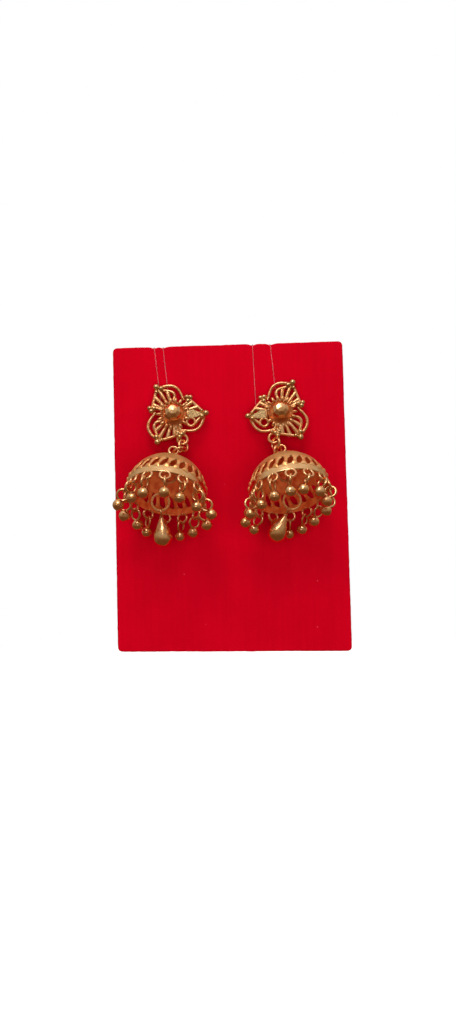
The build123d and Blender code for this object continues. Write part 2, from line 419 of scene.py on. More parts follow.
class NodeBoard:
    """Lays out the nodes of one material or node group."""

    def __init__(self, tree: bpy.types.NodeTree) -> None:
        """Start on an empty tree."""
        tree.nodes.clear()
        self.tree = tree

    def add(self, kind: str, **values: object) -> bpy.types.Node:
        """Add a node.

        Args:
            kind: The node's type.
            **values: Its settings, and the values of its inputs, by name with _ for a space.

        Returns:
            The node.
        """
        node = self.tree.nodes.new(kind)
        for name, value in values.items():
            if hasattr(node, name):
                setattr(node, name, value)
            else:
                node.inputs[name.replace("_", " ")].default_value = value
        return node

    def join(self, source: bpy.types.NodeSocket, target: bpy.types.NodeSocket) -> None:
        """Link one socket to another."""
        self.tree.links.new(source, target)

    def feed(self, node: bpy.types.Node, **sources: bpy.types.NodeSocket) -> None:
        """Link sockets to a node's inputs.

        Args:
            node: The node to feed.
            **sources: The sockets, by the input's name with _ for a space.
        """
        for name, source in sources.items():
            self.join(source, node.inputs[name.replace("_", " ")])

    def noise(
        self, where: bpy.types.NodeSocket, size: float, detail: float,
    ) -> bpy.types.NodeSocket:
        """Add a noise.

        Args:
            where: The coordinates that it reads.
            size: How many millimetres its features are across.
            detail: How many finer layers it has.

        Returns:
            Its value, around one half.
        """
        node = self.add("ShaderNodeTexNoise", Scale=1 / (size * MM), Detail=detail)
        self.feed(node, Vector=where)
        return node.outputs["Fac"]

    def bump(
        self, height: bpy.types.NodeSocket, strength: float, depth: float,
    ) -> bpy.types.NodeSocket:
        """Turn a height into a normal.

        Args:
            height: The height.
            strength: How much of it shows.
            depth: How many millimetres a height of one is.

        Returns:
            The normal.
        """
        node = self.add("ShaderNodeBump", Strength=strength, Distance=depth * MM)
        self.feed(node, Height=height)
        return node.outputs["Normal"]

    def stretch(
        self, source: bpy.types.NodeSocket, low: float, high: float,
        to_low: object = 0.0, to_high: object = 1.0,
    ) -> bpy.types.NodeSocket:
        """Map a value from one range to another.

        Args:
            source: The value.
            low: Where its range starts.
            high: Where its range ends.
            to_low: What the start becomes, a number or a socket.
            to_high: What the end becomes, a number or a socket.

        Returns:
            The mapped value.
        """
        node = self.add("ShaderNodeMapRange", From_Min=low, From_Max=high)
        self.feed(node, Value=source)
        for name, end in (("To Min", to_low), ("To Max", to_high)):
            if isinstance(end, bpy.types.NodeSocket):
                self.join(end, node.inputs[name])
            else:
                node.inputs[name].default_value = end
        return node.outputs["Result"]

    def blend(
        self, amount: bpy.types.NodeSocket, first: object, second: object,
    ) -> bpy.types.NodeSocket:
        """Mix two colours.

        Args:
            amount: How much of the second colour there is.
            first: A colour or a socket.
            second: A colour or a socket.

        Returns:
            The mixed colour.
        """
        node = self.add("ShaderNodeMix", data_type="RGBA")
        self.feed(node, Factor=amount)
        for socket, colour in zip(node.inputs[6:8], (first, second)):
            if isinstance(colour, bpy.types.NodeSocket):
                self.join(colour, socket)
            else:
                socket.default_value = (*colour, 1)
        return node.outputs[2]


class MaterialBoard(NodeBoard):
    """Lays out a material whose surface is one Principled shader."""

    def __init__(self, name: str, **values: object) -> None:
        """Make the material, its shader and its output.

        Args:
            name: The material's name.
            **values: The shader's plain values, by name with _ for a space.
        """
        self.material = bpy.data.materials.new(name)
        self.material.use_nodes = True
        super().__init__(self.material.node_tree)
        self.shader = self.add("ShaderNodeBsdfPrincipled", **values)
        out = self.add("ShaderNodeOutputMaterial")
        self.feed(out, Surface=self.shader.outputs["BSDF"])

    def group(self, tree: bpy.types.NodeTree, **values: float) -> bpy.types.NodeOutputs:
        """Place a shared group with this material's own values and give its outputs."""
        return self.add("ShaderNodeGroup", node_tree=tree, **values).outputs


def shared_group(name: str, inputs: dict[str, float], outputs: Sequence[str]) -> NodeBoard:
    """Start a node group whose sockets are all plain numbers.

    Args:
        name: The group's name.
        inputs: Its inputs and their defaults.
        outputs: Its outputs.

    Returns:
        The board that the group is laid out on.
    """
    tree = bpy.data.node_groups.new(name, "ShaderNodeTree")
    for label, value in inputs.items():
        socket = tree.interface.new_socket(label, in_out="INPUT", socket_type="NodeSocketFloat")
        socket.default_value = value
    for label in outputs:
        tree.interface.new_socket(label, in_out="OUTPUT", socket_type="NodeSocketFloat")
    return NodeBoard(tree)


def handwork_group() -> bpy.types.NodeTree:
    """The marks that polishing and handling leave on metal.

    Returns:
        A group whose Tone is 0 in clean metal and 1 where the gilding is deep and warm, with
        the Roughness between the two that it is given and the Height of its fine marks.
    """
    board = shared_group(
        "handwork", {"Smooth": 0.1, "Rough": 0.3}, ("Tone", "Roughness", "Height")
    )
    given = board.add("NodeGroupInput")
    where = board.add("ShaderNodeTexCoord").outputs["Object"]
    cloud = board.noise(where, size=1.9, detail=3)
    fine = board.noise(where, size=0.28, detail=4)
    brushed = board.add(
        "ShaderNodeMapping", vector_type="POINT", Scale=(1, 1, 9), Rotation=(0.5, 0.9, 0.2)
    )
    board.feed(brushed, Vector=where)
    lines = board.noise(brushed.outputs["Vector"], size=0.7, detail=2)
    marks = board.add("ShaderNodeMath", operation="ADD")
    board.join(fine, marks.inputs[0])
    board.join(lines, marks.inputs[1])
    roughness = board.stretch(
        marks.outputs[0], low=0.75, high=1.3,
        to_low=given.outputs["Smooth"], to_high=given.outputs["Rough"],
    )
    board.feed(
        board.add("NodeGroupOutput"), Tone=board.stretch(cloud, low=0.35, high=0.68),
        Roughness=roughness, Height=marks.outputs[0],
    )
    return board.tree


def nap_group() -> bpy.types.NodeTree:
    """The pile of a flocked surface.

    Returns:
        A group whose Shade is 0 where the pile lies dark and 1 where it catches the light,
        with the Lint mask of stray pale fibres and the Height of the pile.
    """
    board = shared_group("nap", {"Streak": 0.5}, ("Shade", "Lint", "Height"))
    given = board.add("NodeGroupInput")
    where = board.add("ShaderNodeTexCoord").outputs["Object"]
    broad = board.noise(where, size=9, detail=3)
    pile = board.noise(where, size=0.22, detail=3)
    drawn = board.add("ShaderNodeMapping", vector_type="POINT", Scale=(1, 1, 0.05))
    board.feed(drawn, Vector=where)
    streaks = board.noise(drawn.outputs["Vector"], size=0.9, detail=2)
    streaked = board.add("ShaderNodeMix", data_type="FLOAT")
    board.feed(streaked, Factor=given.outputs["Streak"], A=broad, B=streaks)
    shade = board.add("ShaderNodeMix", data_type="FLOAT", Factor=0.4)
    board.feed(shade, A=streaked.outputs["Result"], B=pile)
    specks = board.add(
        "ShaderNodeTexVoronoi", feature="F1", Scale=1 / (6.0 * MM), Randomness=1.0
    )
    board.feed(specks, Vector=where)
    board.feed(
        board.add("NodeGroupOutput"),
        Shade=board.stretch(shade.outputs["Result"], low=0.38, high=0.62),
        Lint=board.stretch(specks.outputs["Distance"], low=0.045, high=0.015),
        Height=pile,
    )
    return board.tree


@dataclass(frozen=True)
class GiltFinish:
    """Gold plating, as bright or as rough as its part is left.

    Light and deep are its two tones, smooth and rough the least and the most that it
    scatters, and marks how much its fine marks stand out.
    """

    name: str
    light: Colour
    deep: Colour
    smooth: float
    rough: float
    marks: float
    metal: float = 1.0
    gloss: float = 0.5
    glint: Colour = (1.0, 0.86, 0.68)
    mark_depth: float = 0.02

    def build(self, handwork: bpy.types.NodeTree) -> bpy.types.Material:
        """Make the material from the shared handwork group.

        Args:
            handwork: The group.

        Returns:
            The material.
        """
        board = MaterialBoard(
            self.name, Metallic=self.metal, Specular_IOR_Level=self.gloss,
            Specular_Tint=(*self.glint, 1),
        )
        worn = board.group(handwork, Smooth=self.smooth, Rough=self.rough)
        board.feed(
            board.shader, Base_Color=board.blend(worn["Tone"], self.light, self.deep),
            Roughness=worn["Roughness"],
            Normal=board.bump(worn["Height"], self.marks, self.mark_depth),
        )
        return board.material


@dataclass(frozen=True)
class VelvetFinish:
    """Red flocking, with the pile brushed down the card and a little lint on it."""

    name: str = "red_velvet"
    bright: Colour = (0.525, 0.0002, 0.011)
    dark: Colour = (0.46, 0.0002, 0.009)
    lint: Colour = (0.66, 0.05, 0.08)
    sheen: Colour = (1.0, 0.06, 0.1)
    streak: float = 0.45
    pile_depth: float = 0.06

    def build(self, nap: bpy.types.NodeTree) -> bpy.types.Material:
        """Make the material from the shared nap group.

        Args:
            nap: The group.

        Returns:
            The material.
        """
        board = MaterialBoard(
            self.name, Roughness=0.95, Specular_IOR_Level=0.02, Sheen_Weight=0.05,
            Sheen_Roughness=0.45, Sheen_Tint=(*self.sheen, 1),
        )
        brushed = board.group(nap, Streak=self.streak)
        pile = board.blend(brushed["Shade"], self.dark, self.bright)
        board.feed(
            board.shader, Base_Color=board.blend(brushed["Lint"], pile, self.lint),
            Normal=board.bump(brushed["Height"], 0.35, self.pile_depth),
        )
        return board.material


@dataclass(frozen=True)
class NylonFinish:
    """Clear thread that shows mostly what is behind it."""

    name: str = "clear_nylon"
    tint: Colour = (1.0, 0.4, 0.45)
    smooth: float = 0.08
    rough: float = 0.3

    def build(self, handwork: bpy.types.NodeTree) -> bpy.types.Material:
        """Make the material, a little rubbed here and there.

        Args:
            handwork: The group of marks.

        Returns:
            The material.
        """
        board = MaterialBoard(
            self.name, Transmission_Weight=0.85, IOR=1.5, Base_Color=(*self.tint, 1)
        )
        worn = board.group(handwork, Smooth=self.smooth, Rough=self.rough)
        board.feed(board.shader, Roughness=worn["Roughness"])
        return board.material


GILDING = {
    "polished": GiltFinish(
        "gilt_polished", light=(0.90, 0.56, 0.29), deep=(0.82, 0.43, 0.18),
        smooth=0.16, rough=0.28, marks=0.25,
    ),
    "wire": GiltFinish(
        "gilt_wire", light=(0.90, 0.50, 0.26), deep=(0.82, 0.38, 0.16),
        smooth=0.2, rough=0.34, marks=0.3,
    ),
    "cast": GiltFinish(
        "gilt_cast", light=(0.88, 0.51, 0.26), deep=(0.76, 0.35, 0.14),
        smooth=0.3, rough=0.48, marks=0.6,
    ),
    "pierced": GiltFinish(
        "gilt_pierced", light=(0.80, 0.42, 0.17), deep=(0.66, 0.28, 0.09),
        smooth=0.22, rough=0.38, marks=0.4, metal=0.7,
    ),
    # The cast gold made darker: painted shade on the leaf and the grains, with a smoother polish
    # than the cast.
    "burnished": GiltFinish(
        "gilt_painted_shade", light=(0.74, 0.5, 0.25), deep=(0.62, 0.38, 0.17),
        smooth=0.22, rough=0.36, marks=0.4,
    ),
    "satin": GiltFinish(
        "gilt_satin", light=(0.61, 0.35, 0.14), deep=(0.50, 0.25, 0.085),
        smooth=0.34, rough=0.5, marks=0.5, metal=0.6,
    ),
    # Unpolished gold for the inside of the domes; its deep red colour is a painted reflection of
    # the red card bounced inside.
    "raw": GiltFinish(
        "gilt_unpolished", light=(0.85, 0.22, 0.055), deep=(0.62, 0.075, 0.016),
        smooth=0.34, rough=0.5, marks=0.9, metal=0.35, gloss=0.25,
    ),
}


@dataclass(frozen=True)
class Finishes:
    """Every finish of the pair and its card."""

    polished: bpy.types.Material
    wire: bpy.types.Material
    cast: bpy.types.Material
    pierced: bpy.types.Material
    burnished: bpy.types.Material
    satin: bpy.types.Material
    raw: bpy.types.Material
    velvet: bpy.types.Material
    nylon: bpy.types.Material

    @classmethod
    def mixed(cls) -> "Finishes":
        """Build the shared groups, then each material from them.

        Returns:
            The finishes.
        """
        handwork, nap = handwork_group(), nap_group()
        gilt = {kind: finish.build(handwork) for kind, finish in GILDING.items()}
        return cls(**gilt, velvet=VelvetFinish().build(nap), nylon=NylonFinish().build(handwork))


# ---- off the bench ------------------------------------------------------------------------


def show(name: str, data: bpy.types.ID) -> bpy.types.Object:
    """Make an object of some data and put it in the scene.

    Args:
        name: The object's name.
        data: Its mesh, light or camera.

    Returns:
        The object.
    """
    item = bpy.data.objects.new(name, data)
    bpy.context.scene.collection.objects.link(item)
    return item


def off_the_bench(bm: BMesh, name: str) -> bpy.types.Object:
    """Turn a mesh in millimetres into an object in metres.

    Args:
        bm: The mesh, which is freed.
        name: The object's name.

    Returns:
        The object.
    """
    bmesh.ops.scale(bm, vec=(MM, MM, MM), verts=bm.verts)
    mesh = bpy.data.meshes.new(name)
    bm.to_mesh(mesh)
    bm.free()
    return show(name, mesh)


def set_in_place(
    bm: BMesh, name: str, finishes: Sequence[bpy.types.Material],
    nodes: Sequence[str] = (), crease: float = 42.0,
) -> bpy.types.Object:
    """Weld a mesh that was built in millimetres and make it a piece of the model.

    Args:
        bm: The mesh, which is freed.
        name: The piece's name.
        finishes: Its materials, in the order of its material indices.
        nodes: The CAD nodes that it stands for.
        crease: The angle past which an edge is sharp.

    Returns:
        The piece, riding on the one body.
    """
    bmesh.ops.remove_doubles(bm, verts=bm.verts, dist=WELD)
    bmesh.ops.recalc_face_normals(bm, faces=bm.faces)
    limit = math.radians(crease)
    for face in bm.faces:
        face.smooth = True
    for edge in bm.edges:
        edge.smooth = not edge.is_manifold or edge.calc_face_angle() < limit
    piece = off_the_bench(bm, name)
    for finish in finishes:
        piece.data.materials.append(finish)
    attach(piece, "root")
    if nodes:
        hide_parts(*nodes)
    triangles = sum(len(polygon.vertices) - 2 for polygon in piece.data.polygons)
    log.info("%-28s %7d triangles", name, triangles)
    return piece


@dataclass(frozen=True)
class Lie:
    """How a ring or a drop of the frame lies, measured from its CAD node in millimetres."""

    middle: Vector
    long_axis: Vector
    thin_axis: Vector

    @classmethod
    def of(cls, node: bpy.types.Object) -> "Lie":
        """Measure a node by the spread of its faces, its long axis turned downward.

        Args:
            node: The node.

        Returns:
            How it lies.
        """
        mesh = node.data
        count = len(mesh.polygons)
        centres, areas = np.empty(count * 3), np.empty(count)
        mesh.polygons.foreach_get("center", centres)
        mesh.polygons.foreach_get("area", areas)
        centres, weights = centres.reshape(-1, 3) / MM, areas / areas.sum()
        middle = weights @ centres
        spread = centres - middle
        axes = np.linalg.eigh((spread * weights[:, None]).T @ spread)[1]
        long_axis = Vector(axes[:, 2])
        if long_axis.z > 0:
            long_axis.negate()
        return cls(Vector(middle), long_axis, Vector(axes[:, 0]))

    @property
    def frame(self) -> Matrix:
        """The frame at the middle, X down the long axis and Z along the thin one."""
        return placed(self.middle, self.long_axis, self.thin_axis)


def reach_along(node: bpy.types.Object, lie: Lie) -> tuple[float, float]:
    """How far a node goes from its middle up and down its long axis, in millimetres.

    Args:
        node: The node.
        lie: How it lies.

    Returns:
        The upper end, which is negative, and the lower one.
    """
    coordinates = np.empty(len(node.data.vertices) * 3)
    node.data.vertices.foreach_get("co", coordinates)
    along = (coordinates.reshape(-1, 3) / MM - np.array(lie.middle)) @ np.array(lie.long_axis)
    return float(along.min()), float(along.max())


# ---- the stud -----------------------------------------------------------------------------


@dataclass(frozen=True)
class LobePoint:
    """A point of a lobe's pattern: the turn from its granule and the reach from the centre."""

    turn: float
    reach: float


@dataclass(frozen=True)
class LobeGrain:
    """A ball soldered on a lobe: where it sits, how high its middle is and its radius."""

    turn: float
    reach: float
    height: float
    radius: float
    level: int = 3


@dataclass
class Stud:
    """The pierced flower, with its lobes, beads, boss, eye and post.

    It is built flat: X right, Y up, Z toward the viewer from the back of the flower. A
    half section is the half width and half height of a wire.
    """

    hand: Hand
    centre: Vector
    spin: float
    eye_angle: float
    tilt: float = 10.0
    thick: float = 0.8
    first_lobe: float = 119.5
    lobes: int = 3
    granule_reach: float = 8.3
    corner: LobePoint = LobePoint(48, 5.7)
    sides: int = 12
    grains: tuple[LobeGrain, ...] = (
        LobeGrain(1, 8.45, 0.72, 0.84), LobeGrain(-5.5, 7.45, 0.9, 0.68),
        LobeGrain(6.5, 7.35, 0.72, 0.52, level=2), LobeGrain(43, 5.15, 0.66, 0.64),
        LobeGrain(52, 5.75, 0.66, 0.68), LobeGrain(45, 6.3, 0.66, 0.64),
    )
    # the outer scroll, thinner from its granule on, and the inner one with the side
    scroll_wire: float = 0.42
    scroll_start: float = 1.08
    scroll_taper: float = 0.28
    scroll: tuple[LobePoint, ...] = (
        LobePoint(0, 8.1), LobePoint(-10, 7.8), LobePoint(-20, 7.72), LobePoint(-30, 7.45),
        LobePoint(-39, 6.9), LobePoint(-48, 6.0), LobePoint(-57, 5.15), LobePoint(-67, 4.65),
    )
    half_section: tuple[float, float] = (0.42, 0.44)
    inner_lift: float = 0.05
    inner_scroll: tuple[LobePoint, ...] = (
        LobePoint(1, 7.6), LobePoint(-5, 7.05), LobePoint(-13.5, 6.5), LobePoint(-23, 6.1),
        LobePoint(-29.5, 5.7), LobePoint(-33.5, 5.05), LobePoint(-34, 4.4), LobePoint(-31, 3.6),
    )
    # the fan of ribs, each wider step by step toward the outline
    rib_turns: tuple[float, ...] = (40, 33, 16.5, 0, -16)
    rib_start: float = 2.95
    rib_steps: int = 7
    rib_width: float = 0.36
    rib_widening: float = 0.032
    rib_half_height: float = 0.4
    rib_height: float = 0.42
    rib_arch: float = 0.1
    # the lobe with a leaf in place of two ribs, a curl beside it and a bar at its root
    leaf_lobe: int = 2
    leaf_height: float = 0.45
    leaf_thick: float = 0.38
    leaf_bevel: float = 0.16
    leaf_ribs: tuple[float, ...] = (40, 33, 16.5)
    leaf: tuple[LobePoint, ...] = (
        LobePoint(19, 3.6), LobePoint(15.5, 5.1), LobePoint(4, 6.9), LobePoint(1.5, 8.0),
        LobePoint(-2, 7.5), LobePoint(-9, 6.1), LobePoint(-13.5, 4.9), LobePoint(-19, 3.6),
    )
    leaf_scroll: tuple[LobePoint, ...] = (
        LobePoint(0, 7.8), LobePoint(-4, 7.35), LobePoint(-10, 6.85), LobePoint(-17, 6.4),
        LobePoint(-26, 6.1),
    )
    curl: LobePoint = LobePoint(-24.5, 5.0)
    curl_lift: float = 0.04
    curl_radius: float = 1.06
    curl_wire: float = 0.34
    bar_reach: float = 3.66
    bar_height: float = 0.86
    bar_half: tuple[float, float, float] = (1.25, 0.3, 0.34)
    # the dish, its petals and the dots between them, none within the gap of the leaf
    collar: Profile = (
        (0, 0), (3.2, 0), (3.42, 0.16), (3.38, 0.5), (3.2, 0.74), (3.0, 0.82), (2.85, 0.76),
        (2.55, 0.55), (2.2, 0.45), (0, 0.45),
    )
    petals: int = 18
    petal_reach: float = 3.62
    petal_height: float = 0.72
    petal_half: tuple[float, float, float] = (0.84, 0.44, 0.5)
    petal_gap: float = 17.0
    dot_reach: float = 2.98
    dot_height: float = 0.82
    dot_radius: float = 0.24
    # the boss, its rise flatter than its radius
    boss_radius: float = 2.42
    boss_rise: float = 1.6
    boss_height: float = 2.3
    boss_facets: tuple[int, int] = (8, 6)
    boss_turn: float = 30.0
    boss_nod: float = 13.0
    boss_cut: float = 0.07
    # the eye, with the grains and stems that hold it
    eye_reach: float = 7.1
    eye_radius: float = 1.25
    eye_wire: float = 0.36
    holder_reach: float = 5.6
    holder_spread: tuple[float, ...] = (-9, 0, 9)
    holder_radius: float = 0.62
    stem_reach: tuple[float, ...] = (3.2, 4.2, 5.2, 5.9)
    stem_spread: tuple[float, ...] = (-5, 5)
    stem_wire: float = 0.4
    # the ear post
    post_foot: float = 1.35
    post_radius: float = 0.45
    post_length: float = 9.0

    @property
    def frame(self) -> Matrix:
        """Where the flower's back lies, Z toward the viewer and a little up.

        Returns:
            The frame.
        """
        tilt = math.radians(self.tilt)
        outward = Vector((0, -math.cos(tilt), math.sin(tilt)))
        return placed(self.centre, X_AXIS, outward)

    def spot(self, lobe: int, turn: float, reach: float, height: float = 0.0) -> Vector:
        """The place on the flower of a point of a lobe's pattern.

        Args:
            lobe: Which lobe.
            turn: The turn from the lobe's granule.
            reach: The distance from the flower's centre.
            height: The height above its back.

        Returns:
            The place.
        """
        angle = self.first_lobe + 360 / self.lobes * lobe + turn
        return polar(reach, self.spin + self.hand.value * angle, height)

    def trace(
        self, lobe: int, points: Sequence[LobePoint], height: float, steps: int,
    ) -> list[Vector]:
        """Lay a lobe's pattern points out as a smooth path.

        Args:
            lobe: Which lobe.
            points: The points.
            height: The path's height above the flower's back.
            steps: Steps from one point to the next.

        Returns:
            The path.
        """
        return smooth_path([self.spot(lobe, p.turn, p.reach, height) for p in points], steps)

    def side_reach(self, turn: float) -> float:
        """How far the straight side of a lobe is from the centre.

        Args:
            turn: The turn from the lobe's granule.

        Returns:
            The distance at that turn.
        """
        granule = polar(self.granule_reach, 0)
        side = polar(self.corner.reach, self.corner.turn) - granule
        ray = polar(1, turn)
        return granule.cross(side).z / ray.cross(side).z

    def rib_end(self, turn: float) -> float:
        """How far a rib goes before it meets the lobe's outline.

        Args:
            turn: The rib's turn from the lobe's granule.

        Returns:
            The distance of its end from the centre.
        """
        if turn > 0:
            return self.side_reach(turn)
        rising = self.inner_scroll[:6]
        return float(np.interp(-turn, [-p.turn for p in rising], [p.reach for p in rising]))

    def build(self, finishes: Finishes) -> list[bpy.types.Object]:
        """Build the flower, its boss and its post.

        Args:
            finishes: The finishes to dress them in.

        Returns:
            The pieces.
        """
        name = self.hand.label
        flower = bmesh.new()
        for lobe in range(self.lobes):
            self.add_lobe(flower, lobe)
        self.add_collar(flower)
        self.add_eye(flower)
        boss, post = bmesh.new(), bmesh.new()
        self.add_boss(boss)
        self.add_post(post)
        for bm in (flower, boss, post):
            bmesh.ops.transform(bm, matrix=self.frame, verts=bm.verts)
        dent(flower, depth=0.05, size=0.9, seed=3.0 + self.hand.value)
        return [
            set_in_place(
                flower, f"{name}_stud_flower", [finishes.cast, finishes.burnished],
                [f"{name}_stud"], crease=40,
            ),
            set_in_place(boss, f"{name}_stud_boss", [finishes.polished], crease=5),
            set_in_place(post, f"{name}_stud_post", [finishes.wire]),
        ]

    def add_lobe(self, bm: BMesh, lobe: int) -> None:
        """Add one lobe's scrolls, side, ribs and grains.

        Args:
            bm: The mesh to add them to.
            lobe: Which lobe it is.
        """
        leafed = lobe == self.leaf_lobe
        middle = self.thick / 2
        outer = self.trace(lobe, self.scroll, middle, steps=7)
        taper = [
            self.scroll_wire * (self.scroll_start - self.scroll_taper * step / len(outer))
            for step in range(len(outer))
        ]
        run_wire(bm, outer, taper, taper, Z_AXIS, self.sides)
        points = self.leaf_scroll if leafed else self.inner_scroll
        inner = self.trace(lobe, points, middle + self.inner_lift, steps=6)
        even_wire(bm, inner, self.half_section, Z_AXIS, self.sides)
        tip = self.spot(lobe, 0, self.granule_reach, middle)
        corner = self.spot(lobe, self.corner.turn, self.corner.reach, middle)
        side = [tip.lerp(corner, step / 10) for step in range(11)]
        even_wire(bm, side, self.half_section, Z_AXIS, self.sides)
        if leafed:
            self.add_leaf(bm, lobe)
        for turn in self.leaf_ribs if leafed else self.rib_turns:
            self.add_rib(bm, lobe, turn)
        if leafed:
            curl = self.spot(lobe, self.curl.turn, self.curl.reach, middle + self.curl_lift)
            ring(bm, placed(curl, X_AXIS, Z_AXIS), self.curl_radius, self.curl_wire, around=32)
        grains = bmesh.new()
        for grain in self.grains:
            spot = self.spot(lobe, grain.turn, grain.reach, grain.height)
            granule(grains, spot, grain.radius, grain.level)
        # The grains take the darker gilt: painted shade.
        paint(grains, FlowerFace.BURNISHED)
        absorb(bm, grains)

    def add_rib(self, bm: BMesh, lobe: int, turn: float) -> None:
        """Add one rib of the fan, wider toward the outline and arched between its ends.

        Args:
            bm: The mesh to add it to.
            lobe: Which lobe it is in.
            turn: Its turn from the lobe's granule.
        """
        run = self.rib_end(turn) - self.rib_start
        path, widths = [], []
        for step in range(self.rib_steps + 1):
            height = self.rib_height + self.rib_arch * math.sin(math.pi * step / self.rib_steps)
            reach = self.rib_start + run * step / self.rib_steps
            path.append(self.spot(lobe, turn, reach, height))
            widths.append(self.rib_width + self.rib_widening * step)
        run_wire(bm, path, widths, [self.rib_half_height] * len(path), Z_AXIS, self.sides)

    def add_leaf(self, bm: BMesh, lobe: int) -> None:
        """Add the flat polished leaf of one lobe and the bar across its root.

        Args:
            bm: The mesh to add them to.
            lobe: Which lobe it is.
        """
        plate = bmesh.new()
        low, half_way = self.leaf_height, self.leaf_height + self.leaf_thick / 2
        face = plate.faces.new(
            [plate.verts.new(self.spot(lobe, p.turn, p.reach, low)) for p in self.leaf]
        )
        raised = bmesh.ops.extrude_face_region(plate, geom=[face])["geom"]
        top = [item for item in raised if isinstance(item, BMVert)]
        bmesh.ops.translate(plate, vec=(0, 0, self.leaf_thick), verts=top)
        rim = [edge for edge in plate.edges if all(vert.co.z > half_way for vert in edge.verts)]
        bmesh.ops.bevel(
            plate, geom=rim, offset=self.leaf_bevel, offset_type="OFFSET", segments=1,
            profile=0.5, affect="EDGES", material=-1, clamp_overlap=True,
        )
        # The leaf takes the darker gilt: painted shade.
        paint(plate, FlowerFace.BURNISHED)
        absorb(bm, plate)
        root = self.spot(lobe, 0, self.bar_reach, self.bar_height)
        bead(bm, placed(root, self.spot(lobe, 90, 1), Z_AXIS), self.bar_half)

    def add_collar(self, bm: BMesh) -> None:
        """Add the turned dish that the boss sits in and the petals round it.

        Args:
            bm: The mesh to add them to.
        """
        lathe(bm, BENCH, self.collar, steps=96)
        leaf = self.spot(self.leaf_lobe, 0, 1)
        for petal in range(self.petals):
            angle = 360 / self.petals * petal
            if polar(1, angle).angle(leaf) < math.radians(self.petal_gap):
                continue
            middle = polar(self.petal_reach, angle, self.petal_height)
            bead(bm, placed(middle, polar(1, angle), Z_AXIS), self.petal_half)
            dot = polar(self.dot_reach, angle + 180 / self.petals, self.dot_height)
            granule(bm, dot, self.dot_radius)

    def add_eye(self, bm: BMesh) -> None:
        """Add the eye that the first jump ring hangs from, with the grains that hold it.

        Args:
            bm: The mesh to add them to.
        """
        centre = polar(self.eye_reach, self.eye_angle, self.thick / 2)
        seat = placed(centre, X_AXIS, Z_AXIS)
        ring(bm, seat, self.eye_radius, self.eye_wire, around=40, sides=self.sides)
        for offset in self.holder_spread:
            holder = polar(self.holder_reach, self.eye_angle + offset, self.holder_radius)
            granule(bm, holder, self.holder_radius, level=3)
        for offset in self.stem_spread:
            angle = self.eye_angle + offset
            path = [polar(reach, angle, self.thick / 2) for reach in self.stem_reach]
            round_wire(bm, path, self.stem_wire, Z_AXIS)

    def add_boss(self, bm: BMesh) -> None:
        """Add the diamond-cut ball at the middle of the flower, a little flatter than round.

        Args:
            bm: The mesh to add it to.
        """
        wide, rise = self.boss_radius, self.boss_rise
        seat = (
            Matrix.Translation((0, 0, self.boss_height))
            @ Matrix.Diagonal((wide, wide, rise, 1))
            @ Matrix.Rotation(math.radians(-self.boss_nod), 4, "X")
            @ Matrix.Rotation(math.radians(self.boss_turn), 4, "Z")
        )
        around, up = self.boss_facets
        bmesh.ops.create_uvsphere(bm, u_segments=around, v_segments=up, radius=1, matrix=seat)
        bmesh.ops.bevel(
            bm, geom=bm.edges[:], offset=self.boss_cut, offset_type="OFFSET", segments=1,
            profile=0.5, affect="EDGES", material=-1, clamp_overlap=True,
        )

    def add_post(self, bm: BMesh) -> None:
        """Add the ear post behind the flower: a soldered foot, a pin and its notched tip.

        Args:
            bm: The mesh to add it to.
        """
        pin, foot, length = self.post_radius, self.post_foot, self.post_length
        lathe(
            bm, BENCH,
            [(0, 0.2), (foot, 0.2), (foot, -0.08), (foot - 0.12, -0.2), (pin + 0.3, -0.24),
             (pin + 0.06, -0.5), (pin, -0.9), (pin, -length + 2.3), (pin - 0.1, -length + 2.1),
             (pin - 0.1, -length + 1.7), (pin, -length + 1.5), (pin, -length + 0.35),
             (pin - 0.14, -length + 0.1), (0, -length)],
            steps=32,
        )


# ---- behind the card ----------------------------------------------------------------------


@dataclass
class PushNut:
    """The turned nut pushed onto the post behind the card."""

    stud: Stud
    card_gap: float = 3.45
    flange: float = 2.3
    length: float = 2.5
    bore: float = 0.5
    ridges: int = 36
    valley: float = 0.94
    grip_sink: float = 0.06
    grip_length: float = 0.6

    def build(self, finishes: Finishes) -> bpy.types.Object:
        """Turn the nut and roll its grip.

        Args:
            finishes: The finishes to dress it in.

        Returns:
            The piece.
        """
        name = self.stud.hand.label
        tilt = math.radians(self.stud.tilt)
        depth = (self.card_gap + self.flange * math.sin(tilt)) / math.cos(tilt)
        frame = self.stud.frame @ Matrix.Translation((0, 0, -depth))
        bore, flange, end = self.bore, self.flange, -self.length
        bm = bmesh.new()
        lathe(
            bm, frame,
            [(bore, 0), (flange - 0.35, 0), (flange - 0.35, -0.72), (1.62, -0.84), (1.5, -1.1),
             (1.56, -1.3), (1.56, end + 0.5), (1.4, end + 0.16), (1.05, end), (bore + 0.15, end),
             (bore, end + 0.12), (bore, 0)],
            steps=48,
        )
        self.add_grip(bm, frame)
        return set_in_place(
            bm, f"{name}_push_nut", [finishes.wire], [f"{name}_back_nut"],
            crease=35,
        )

    def add_grip(self, bm: BMesh, frame: Matrix) -> None:
        """Add the ridged rim by extruding a circle whose every other corner is drawn in.

        Args:
            bm: The mesh to add it to.
            frame: The nut's mouth, Z toward the flower.
        """
        made = bmesh.ops.create_circle(
            bm, cap_ends=True, segments=2 * self.ridges, radius=self.flange,
            matrix=frame @ Matrix.Translation((0, 0, -self.grip_sink)),
        )["verts"]
        bmesh.ops.scale(bm, vec=[self.valley] * 3, verts=made[::2], space=frame.inverted())
        face = next(iter(set.intersection(*(set(vert.link_faces) for vert in made[:3]))))
        raised = bmesh.ops.extrude_face_region(bm, geom=[face])["geom"]
        moved = [item for item in raised if isinstance(item, BMVert)]
        bmesh.ops.translate(bm, vec=frame.col[2].xyz * -self.grip_length, verts=moved)


# ---- rings --------------------------------------------------------------------------------


